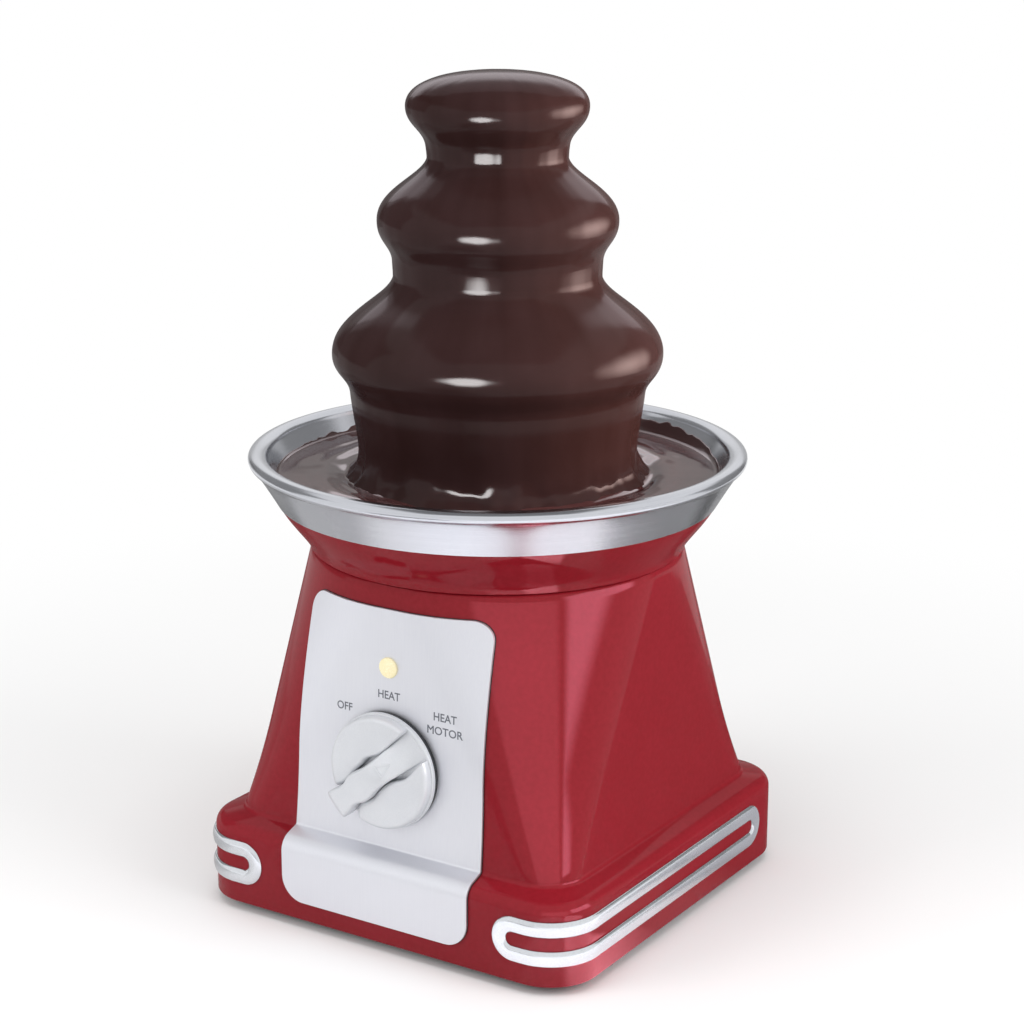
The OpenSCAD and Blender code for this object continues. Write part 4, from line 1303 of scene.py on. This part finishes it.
@dataclass
class ChocolatePool:
    """Standing chocolate in the bowl, stirred by the fall.

    Attributes:
        bowl: what it stands in.
        z: height of its surface.
        hole: radius of the opening round the tower's tube.
        near_r, far_r: radii between which the surface has close rings.
        fall_r: radius where the fall meets it.
        calm_r: radius where the waves have died away.
    """

    bowl: Bowl
    z: float = 191.0
    hole: float = 27.0
    near_r: float = 52.0
    far_r: float = 92.6
    fall_r: float = 62.0
    calm_r: float = 97.0

    ROUND = 400
    RING_STEP = 0.7
    INNER_RINGS = 6
    # Rings of the film on the wall, by the share of its height.
    FILM_RINGS = (0.04, 0.18, 0.4, 0.65, 0.86, 0.96)
    CLEAR = 0.12  # height of the underside over the bowl's floor

    def ring(self, spot: Callable[[float], Point]) -> list[Triple]:
        """One loop of points.

        Args:
            spot: radius and height at an angle.

        Returns:
            The loop.
        """
        out = []
        for k in range(self.ROUND):
            a = TAU * k / self.ROUND
            r, z = spot(a)
            out.append((r * math.cos(a), r * math.sin(a), z))
        return out

    @staticmethod
    def near(a: float, middle: float, half: float) -> float:
        """Share of a stretch of the wall, from 1 at its middle to 0 at its ends.

        Args:
            a: angle.
            middle, half: the stretch's middle and half length in degrees.

        Returns:
            The share.
        """
        m = math.radians(middle)
        off = math.degrees(math.atan2(math.sin(a - m), math.cos(a - m)))
        return ease(1 - abs(off) / half)

    def film(self, a: float) -> float:
        """Height of the film left on the wall, ragged on two stretches.

        Args:
            a: angle.

        Returns:
            The height over the surface.
        """
        rag = ripple(a, 44, 0.0, 4.2) + 0.5 * ripple(a, 90, 0.0, 7.2)
        up = 0.9 + 0.7 * ripple(a, 9, 0.0, 2.2)
        up += self.near(a, 73, 46) * (4.6 + 2.2 * rag) + self.near(a, 166, 34) * max(0.0, 0.6 + 5.0 * rag)
        return max(up, 0.15)

    def wave(self, r: float, a: float) -> float:
        """Height of the surface over its mean: a moat round the fall, rings and slow swells.

        Args:
            r, a: radius and angle.

        Returns:
            The height.
        """
        out = r - self.fall_r
        moat = math.exp(-((out - 4.5) / 2.6) ** 2)
        rings = math.exp(-max(out - 8, 0.0) / 9) * math.sin(out * 0.55 + 2.2 * ripple(a, 8, r * 0.03, 6.2))
        lift = 0.45 * rings - 1.5 * moat * (0.8 + 0.6 * ripple(a, 9, 0.0, 5.5))
        lift += 0.55 * ripple(a, 7, r * 0.035, 8.2) + 0.14 * ripple(a, 20, r * 0.07, 9.2)
        return lift * ease((self.calm_r - r) / 10)

    def build(self) -> None:
        """Waved surface with a ragged film on the bowl's wall, closed below."""
        wall, film, level = self.bowl.wall_radius, self.film, self.z
        close = round((self.far_r - self.near_r) / self.RING_STEP)
        inner, n = self.near_r - self.hole, self.INNER_RINGS
        radii = [self.hole + inner * i / n for i in range(n)]
        radii += [self.near_r + self.RING_STEP * i for i in range(close)]
        rings = [self.ring(lambda a, r=r: (r, level + self.wave(r, a))) for r in radii]
        last = radii[-1]
        for t in (0.35, 0.7):
            rings.append(self.ring(lambda a, t=t: (last + (wall(level) - 0.9 - last) * t, level)))
        for t in self.FILM_RINGS:
            rings.append(self.ring(lambda a, t=t: (wall(level + film(a) * t) - 0.3 - 0.6 * (1 - t) ** 3,
                                                   level + film(a) * t)))
        rings.append(self.ring(lambda a: (wall(level + film(a)) - 0.05, level + film(a))))
        rings.append(self.ring(lambda a: (wall(level - 1.5) - 0.1, level - 1.5)))
        below = [p for p in self.bowl.inside() if p[1] < level - 2.5]
        for r, z in below[::-4]:
            rings.append(self.ring(lambda a, r=r, z=z: (r - 0.1, z + self.CLEAR)))
        rings.append(self.ring(lambda a: (self.hole, self.bowl.z_floor + self.CLEAR)))
        piece = mesh_piece("chocolate_bath", *skin(rings, closed=True), crease=60)
        dress(piece, POOL, Carrier.BASE, "chocolate", "chocolate_pool")


@dataclass
class Repeats:
    """What repeats or follows a path: the auger's flight, the feet and the gland's ribs.

    Attributes:
        core_r, flight_r, blade: radii of the auger's core and flight, and the flight's thickness.
        pitch: rise of one turn.
        auger_low, auger_high, end: heights of the auger's ends, and what each is shorter by.
        foot_at, foot_r, foot_h, tread: a foot's place, radius, height and how much narrower its tread is.
        gland_y, gland_z, bore: depth and height of the gland, and radius of its hole.
    """

    core_r: float = 8.0
    flight_r: float = 19.2
    blade: float = 3.0
    pitch: float = 28.0
    auger_low: float = 178.0
    auger_high: float = 349.8
    end: float = 1.6
    foot_at: float = 65.125
    foot_r: float = 9.0
    foot_h: float = 5.95
    tread: float = 1.2
    gland_y: float = 96.85
    gland_z: float = 22.0
    bore: float = 3.6

    @staticmethod
    def grow(name: str, tree: bpy.types.NodeTree, values: dict[str, float]) -> bpy.types.Object:
        """Runs a geometry tree and keeps its mesh.

        Args:
            name: the piece's name.
            tree: the geometry tree.
            values: its named inputs.

        Returns:
            A plain mesh object without the modifier.
        """
        holder = link(name + "_tree", bpy.data.meshes.new(name + "_seed"))
        mod = holder.modifiers.new("grow", "NODES")
        mod.node_group = tree
        for item in tree.interface.items_tree:
            if item.in_out == "INPUT" and item.name in values:
                mod[item.identifier] = values[item.name]
        mesh = settled(holder, name)
        mesh.set_sharp_from_angle(angle=math.radians(40))
        return link(name, mesh)

    @staticmethod
    def tree(name: str, inputs: Sequence[str]) -> tuple[bpy.types.NodeTree, dict[str, Any]]:
        """An empty geometry tree with named sizes.

        Args:
            name: its name.
            inputs: names of the sizes.

        Returns:
            The tree and its input sockets by name.
        """
        tree = bpy.data.node_groups.new(name, "GeometryNodeTree")
        for label in inputs:
            tree.interface.new_socket(label, in_out="INPUT", socket_type="NodeSocketFloat")
        tree.interface.new_socket("Geometry", in_out="OUTPUT", socket_type="NodeSocketGeometry")
        start = add(tree, "NodeGroupInput")
        return tree, {label: start.outputs[label] for label in inputs}

    @staticmethod
    def close(tree: bpy.types.NodeTree, shape: bpy.types.NodeSocket, finish: Finish) -> None:
        """Ends a tree with real geometry and its material.

        Args:
            tree: the geometry tree.
            shape: what it has made.
            finish: the material.
        """
        real = add(tree, "GeometryNodeRealizeInstances", {0: shape}).outputs[0]
        soft = add(tree, "GeometryNodeSetShadeSmooth", {0: real}).outputs[0]
        done = add(tree, "GeometryNodeSetMaterial", {
            "Geometry": soft, "Material": finish.material()}).outputs[0]
        add(tree, "NodeGroupOutput", {0: done})

    def build_auger(self) -> None:
        """Core and helical flight of the lifting screw."""
        length = self.auger_high - self.auger_low - 2 * self.end
        sizes = {"Middle radius": (self.core_r + self.flight_r - 0.4) / 2 * MM,
                 "Depth": (self.flight_r - self.core_r) * MM, "Thickness": self.blade * MM,
                 "Length": length * MM, "Turns": length / self.pitch, "Core": self.core_r * MM,
                 "Low": (self.auger_low + self.end) * MM}
        tree, given = self.tree("lifting screw", list(sizes))
        helix = add(tree, "GeometryNodeCurveSpiral", {
            "Resolution": 40, "Rotations": given["Turns"], "Start Radius": given["Middle radius"],
            "End Radius": given["Middle radius"], "Height": given["Length"]}).outputs[0]
        level = add(tree, "GeometryNodeSetCurveNormal", {0: helix}, mode="Z_UP").outputs[0]
        blade = add(tree, "GeometryNodeCurvePrimitiveQuadrilateral", {
            0: given["Depth"], 1: given["Thickness"]}).outputs[0]
        flight = add(tree, "GeometryNodeCurveToMesh", {
            "Curve": level, "Profile Curve": blade, "Fill Caps": True}).outputs[0]
        core = add(tree, "GeometryNodeMeshCylinder", {
            "Vertices": 64, "Radius": given["Core"], "Depth": given["Length"]}).outputs[0]
        half = add(tree, "ShaderNodeMath", {0: given["Length"], 1: 0.5}, operation="MULTIPLY").outputs[0]
        rise = add(tree, "ShaderNodeCombineXYZ", {2: half}).outputs[0]
        post = add(tree, "GeometryNodeTransform", {"Geometry": core, "Translation": rise}).outputs[0]
        both = add(tree, "GeometryNodeJoinGeometry")
        tree.links.new(flight, both.inputs[0])
        tree.links.new(post, both.inputs[0])
        lift = add(tree, "ShaderNodeCombineXYZ", {2: given["Low"]}).outputs[0]
        placed = add(tree, "GeometryNodeTransform", {
            "Geometry": both.outputs[0], "Translation": lift}).outputs[0]
        self.close(tree, placed, NYLON)
        dress(self.grow("auger_screw", tree, sizes), NYLON, Carrier.DRIVE, "nylon", "auger")

    def build_feet(self) -> None:
        """Four rubber feet, each a tapered pad."""
        sizes = {"Spacing": 2 * self.foot_at * MM, "Radius": self.foot_r * MM,
                 "Tread": (self.foot_r - self.tread) * MM, "Height": self.foot_h * MM}
        tree, given = self.tree("rubber feet", list(sizes))
        spots = add(tree, "GeometryNodeMeshGrid", {
            "Size X": given["Spacing"], "Size Y": given["Spacing"],
            "Vertices X": 2, "Vertices Y": 2}).outputs[0]
        pad = add(tree, "GeometryNodeMeshCone", {
            "Vertices": 48, "Radius Top": given["Radius"], "Radius Bottom": given["Tread"],
            "Depth": given["Height"]}).outputs[0]
        feet = add(tree, "GeometryNodeInstanceOnPoints", {"Points": spots, "Instance": pad}).outputs[0]
        self.close(tree, feet, BLACK_RUBBER)
        dress(self.grow("rubber_feet", tree, sizes), BLACK_RUBBER, Carrier.BASE, "black_rubber",
              "foot_front_left", "foot_front_right", "foot_back_left", "foot_back_right")

    def build_gland(self) -> None:
        """Ribbed rubber sleeve where the cord enters."""
        bore = self.bore
        outline = [(bore, -11.0), (9.0, -11.0), (9.0, -8.6), (7.0, -8.6), (7.0, 0.0), (9.5, 0.0), (9.4, 1.0)]
        for i in range(3):
            z, r = 1.2 + 1.9 * i, 9.0 - 0.4 * i
            outline += [(r - 0.9, z), (r - 0.9, z + 0.5), (r, z + 0.8), (r - 0.1, z + 1.6)]
        outline += [(6.6, 7.0), (bore + 0.4, 7.0), (bore, 6.6)]
        piece = turned("cord_sleeve", outline, 48)
        for v in piece.data.vertices:
            x, y, z = v.co
            v.co = (x, self.gland_y * MM + z, self.gland_z * MM - y)
        piece.data.update()
        dress(piece, BLACK_RUBBER, Carrier.BASE, "black_rubber", "cord_gland")

    def build(self) -> None:
        """Auger, feet and gland."""
        self.build_auger()
        self.build_feet()
        self.build_gland()


class InnerWorks:
    """Solids that keep their own shape and get a better finish."""

    def build(self) -> None:
        """Gives every solid that still shows the finish of its slot."""
        slots = {row["node"]: row["material_slot"] for row in frame["record"]["subparts"]}
        for name, node in frame["nodes"].items():
            if node.hide_render:
                continue
            finish = SLOT_FINISH[slots[name]]
            for place in node.material_slots:
                place.material = finish.material()
            if not node.material_slots:
                node.data.materials.append(finish.material())
            LOG.info("%s keeps its solid, %s", name, finish.name)


# Studio

FLAT = 60.0  # a thing that faces this height on the axis lies level
RED = ("housing_shell", "collar_ring")
CHOCOLATE = ("chocolate_coat", "chocolate_bath")
BRIGHT = ("steel_bowl", "trim_loop_left", "trim_loop_right")


@dataclass(frozen=True)
class Lamp:
    """A soft lamp for the plain light; the cards make the reflections.

    Attributes:
        name: its name.
        turn: degrees to the right of the camera, seen from above.
        away, height: distance from the axis and height of its middle, in metres.
        size: width and height in metres.
        power: watts.
        seen_by: pieces that it lights; all are when empty.
        tint: colour of its light.
    """

    name: str
    turn: float
    away: float
    height: float
    size: Point
    power: float
    seen_by: tuple[str, ...] = ()
    tint: str = "#FFFFFF"


@dataclass(frozen=True)
class Card:
    """A clear card that shows only in reflections: a bright one adds light, a dark one takes it.

    Attributes:
        name, turn, away, height, size: as a lamp's.
        level: light that it adds, or under 1 the share that it lets through.
        soft: share of it over which the edge fades.
        at: height on the axis that it faces, in metres.
        tint: colour of its light.
        seen_by: pieces that reflect it; all do when empty.
        oval: its light fades to an oval instead of a rectangle.
    """

    name: str
    turn: float
    away: float
    height: float
    size: Point
    level: float
    soft: float = 0.2
    at: float = 0.2
    tint: str = "#FFFFFF"
    seen_by: tuple[str, ...] = ()
    oval: bool = False


LAMPS = (
    Lamp("right key", 58, 1.3, 0.8, (0.8, 0.8), 8.6),
    Lamp("overhead fill", -10, 0.3, 1.4, (0.9, 0.9), 5.6),
    Lamp("left fill", -65, 1.4, 0.7, (0.8, 0.8), 8.8),
    Lamp("fall lamp", 85, 0.9, 0.35, (0.5, 0.5), 16, CHOCOLATE, "#FFE2CC"),
)
CARDS = (
    Card("corner card", 64, 1.0, 0.39, (1.0, 0.56), 14.0, 0.3, 0.39, "#FF98B0", RED),
    Card("front card", 9, 1.0, 0.2, (1.1, 0.7), 5.0, 0.25, 0.2, "#FF8898", RED),
    Card("plinth card", 27, 0.24, 0.002, (0.07, 0.3), 11.0, 0.3, FLAT, "#FF9CAC", RED),
    Card("plinth side card", 8, 0.26, 0.002, (0.11, 0.3), 4.0, 0.4, FLAT, "#FF9CAC", RED),
    Card("right fall card", 96, 0.9, 0.3, (1.3, 0.86), 22.0, 1.0, 0.3, "#FFE0D8", CHOCOLATE, True),
    Card("lip card", -19, 0.3, 0.245, (0.2, 0.13), 60.0, 0.5, 0.3, "#FFFFFF", CHOCOLATE, True),
    Card("front table card", 6, 0.36, 0.002, (0.9, 0.66), 1.0, 0.3, FLAT, "#A6A6AC", BRIGHT),
    Card("cap card", 180, 0.8, 0.95, (1.6, 1.0), 3.4, 0.15, 0.36, "#F1E8EE", CHOCOLATE),
    Card("trim card", 112, 0.4, 0.0035, (0.4, 0.66), 1.0, 0.2, FLAT, "#85858B", ("trim_loop_right",)),
    Card("knob card", 62, 0.8, 0.25, (0.4, 0.4), 7.0, 0.4, 0.1, "#FFFFFF", ("switch_knob",)),
    Card("knob table card", -62, 0.26, 0.002, (0.26, 0.3), 1.0, 0.5, FLAT, "#6E6E72", ("switch_knob",)),
    Card("right table flag", 120, 0.38, 0.003, (0.3, 0.64), 0.38, 0.15, FLAT),
    Card("front table flag", -38, 0.42, 0.003, (0.36, 0.36), 0.35, 0.6, FLAT),
    Card("panel card", -88, 0.8, 0.0, (0.6, 0.5), 1.0, 0.6, 0.1, "#5C5C60", ("panel_sheet",)),
    Card("left table flag", -135, 0.36, 0.003, (0.5, 0.6), 0.66, 0.2, FLAT),
    Card("back table flag", 178, 0.45, 0.003, (0.6, 0.6), 0.4, 0.25, FLAT),
    Card("right flag", 125, 1.2, 0.4, (1.1, 1.1), 0.3, 0.25),
    Card("back flag", 180, 1.3, 0.2, (2.4, 0.66), 0.56, 0.2),
    Card("left flag", -125, 1.1, 0.65, (1.3, 1.0), 0.3, 0.2, 0.3),
    Card("top flag", 0, 0.06, 0.4, (0.28, 0.26), 0.25, 0.3, FLAT),
)


@dataclass
class Studio:
    """White sweep, soft boxes and the camera.

    Attributes:
        azimuth, pitch: the camera's turn to the right of the panel, and its fall, in degrees.
        reach, height: its distance from the axis and height in metres.
        lens, shift: its focal length in millimetres, and shift.
        lamp_at: height on the axis that the lamps face, in metres.
        floor_r: radius of the floor in metres.
        fade: radii between which the floor fades into the background.
        sky: the world's level for the plain light.
    """

    azimuth: float = 33.0
    pitch: float = 15.74
    reach: float = 1.0584
    height: float = 0.4699
    lens: float = 87.9
    shift: float = 0.014
    lamp_at: float = 0.18
    floor_r: float = 4.0
    fade: Point = (0.16, 0.62)
    sky: float = 0.6

    @staticmethod
    def seen(tree: bpy.types.NodeTree) -> bpy.types.NodeSocket:
        """Whether a ray shows the background, instead of carrying its light.

        Args:
            tree: the tree of a material or of the world.

        Returns:
            A socket with 1 for the camera, reflections and what is seen through clear pieces, else 0.
        """
        rays = add(tree, "ShaderNodeLightPath").outputs
        seen = rays["Is Camera Ray"]
        for kind in ("Is Glossy Ray", "Is Transmission Ray"):
            seen = add(tree, "ShaderNodeMath", {0: seen, 1: rays[kind]}, operation="MAXIMUM").outputs[0]
        return seen

    def build_world(self) -> None:
        """White to the camera and to reflections, a plain level for the light."""
        world = bpy.data.worlds.new("white sweep")
        bpy.context.scene.world = world
        world.use_nodes = True
        tree = world.node_tree
        tree.nodes.clear()
        level = add(tree, "ShaderNodeMapRange", {0: self.seen(tree), 3: self.sky, 4: 1.0}).outputs[0]
        sky = add(tree, "ShaderNodeBackground", {"Color": (1, 1, 1, 1), "Strength": level}).outputs[0]
        add(tree, "ShaderNodeOutputWorld", {"Surface": sky})

    def build_floor(self) -> None:
        """Pale round floor that fades into the background and keeps the shadow."""
        ring = [(x, y, 0.0) for x, y in arc((0.0, 0.0), self.floor_r / MM, 0, 360, 96)[:-1]]
        floor = mesh_piece("floor", ring, [range(len(ring))], weld=False)
        made = bare_material("pale floor")
        tree = made.node_tree
        where = add(tree, "ShaderNodeTexCoord").outputs["Object"]
        far = add(tree, "ShaderNodeVectorMath", {0: where}, operation="LENGTH").outputs["Value"]
        fade = add(tree, "ShaderNodeMapRange", {0: far, 1: self.fade[0], 2: self.fade[1]},
                   interpolation_type="SMOOTHSTEP").outputs[0]
        matt = add(tree, "ShaderNodeBsdfDiffuse", {"Color": hex_colour("#F4F4F4")}).outputs[0]
        white = add(tree, "ShaderNodeEmission", {"Color": (1, 1, 1, 1), "Strength": 1.0}).outputs[0]
        share = add(tree, "ShaderNodeMath", {0: fade, 1: self.seen(tree)}, operation="MULTIPLY").outputs[0]
        mix = add(tree, "ShaderNodeMixShader", {0: share, 1: matt, 2: white}).outputs[0]
        add(tree, "ShaderNodeOutputMaterial", {"Surface": mix})
        floor.data.materials.append(made)

    def aim(self, thing: bpy.types.Object, plan: Lamp | Card, at: float) -> None:
        """Stands a lamp or card round the fountain and turns it to a height on the axis.

        Args:
            thing: the object; its local Z axis points back from the fountain.
            plan: its place, and the pieces that see it.
            at: height that it faces.
        """
        a = math.radians(self.azimuth + plan.turn)
        thing.location = (plan.away * math.sin(a), -plan.away * math.cos(a), plan.height)
        thing.rotation_euler = (thing.location - Vector((0, 0, at))).to_track_quat("Z", "Y").to_euler()
        thing.visible_camera = False
        if plan.seen_by:
            group = bpy.data.collections.new(plan.name + " seen by")
            for piece in plan.seen_by:
                group.objects.link(bpy.data.objects[piece])
            thing.light_linking.receiver_collection = group

    def build_lamp(self, plan: Lamp) -> None:
        """One lamp.

        Args:
            plan: its place, size and light.
        """
        lamp = bpy.data.lights.new(plan.name, "AREA")
        lamp.shape, lamp.energy = "RECTANGLE", plan.power
        lamp.size, lamp.size_y = plan.size
        lamp.color = hex_colour(plan.tint)[:3]
        box = link(plan.name, lamp)
        self.aim(box, plan, self.lamp_at)
        box.visible_glossy = False

    def build_card(self, plan: Card) -> None:
        """One card.

        Args:
            plan: its place, size and light.
        """
        w, h = plan.size[0] / 2, plan.size[1] / 2
        corners = [(x * w / MM, y * h / MM, 0) for x, y in ((-1, -1), (-1, 1), (1, 1), (1, -1))]
        card = mesh_piece(plan.name, corners, [range(4)], weld=False)
        made = bare_material(plan.name)
        tree = made.node_tree
        where = add(tree, "ShaderNodeTexCoord").outputs["Object"]
        share = add(tree, "ShaderNodeVectorMath", {0: where, 1: (1 / w, 1 / h, 0)},
                    operation="MULTIPLY").outputs[0]
        if plan.oval:
            far = add(tree, "ShaderNodeVectorMath", {0: share}, operation="LENGTH").outputs["Value"]
        else:
            share = add(tree, "ShaderNodeVectorMath", {0: share}, operation="ABSOLUTE").outputs[0]
            part = add(tree, "ShaderNodeSeparateXYZ", {0: share}).outputs
            far = add(tree, "ShaderNodeMath", {0: part[0], 1: part[1]}, operation="MAXIMUM").outputs[0]
        dark = plan.level < 1
        rim = 1.0 if dark else 0.0
        edge = add(tree, "ShaderNodeMapRange", {0: far, 1: 1.0 - plan.soft, 2: 1.0, 3: plan.level, 4: rim},
                   interpolation_type="SMOOTHSTEP").outputs[0]
        if dark:
            done = add(tree, "ShaderNodeBsdfTransparent", {"Color": edge}).outputs[0]
        else:
            tint = hex_colour(plan.tint)
            glow = add(tree, "ShaderNodeEmission", {"Color": tint, "Strength": edge}).outputs[0]
            clear = add(tree, "ShaderNodeBsdfTransparent").outputs[0]
            done = add(tree, "ShaderNodeAddShader", {0: glow, 1: clear}).outputs[0]
        add(tree, "ShaderNodeOutputMaterial", {"Surface": done})
        card.data.materials.append(made)
        self.aim(card, plan, plan.at)
        card.visible_diffuse = card.visible_shadow = card.visible_transmission = False

    def build_camera(self) -> None:
        """Camera at the photograph's angle."""
        lens = bpy.data.cameras.new("camera")
        lens.lens, lens.sensor_width, lens.shift_x = self.lens, 36.0, self.shift
        eye = link("camera", lens)
        a = math.radians(self.azimuth)
        eye.location = (self.reach * math.sin(a), -self.reach * math.cos(a), self.height)
        eye.rotation_euler = (math.radians(90 - self.pitch), 0.0, a)
        bpy.context.scene.camera = eye

    def build(self) -> None:
        """Background, floor, lights and camera."""
        self.build_world()
        self.build_floor()
        for lamp in LAMPS:
            self.build_lamp(lamp)
        for card in CARDS:
            self.build_card(card)
        self.build_camera()
        bpy.context.scene.view_settings.view_transform = "Standard"


def main() -> None:
    """Builds the sub-assemblies in order."""
    logging.basicConfig(level=logging.INFO, format="%(name)s: %(message)s")
    housing, bowl = Housing(), Bowl()
    housing.build()
    for side in (-1, 1):
        TrimLoop(housing, side).build()
    bowl.build()
    ControlPanel(housing).build()
    SwitchKnob().build()
    ChocolateFall().build()
    ChocolatePool(bowl).build()
    Repeats().build()
    InnerWorks().build()
    Studio().build()


if __name__ == "__main__":
    main()
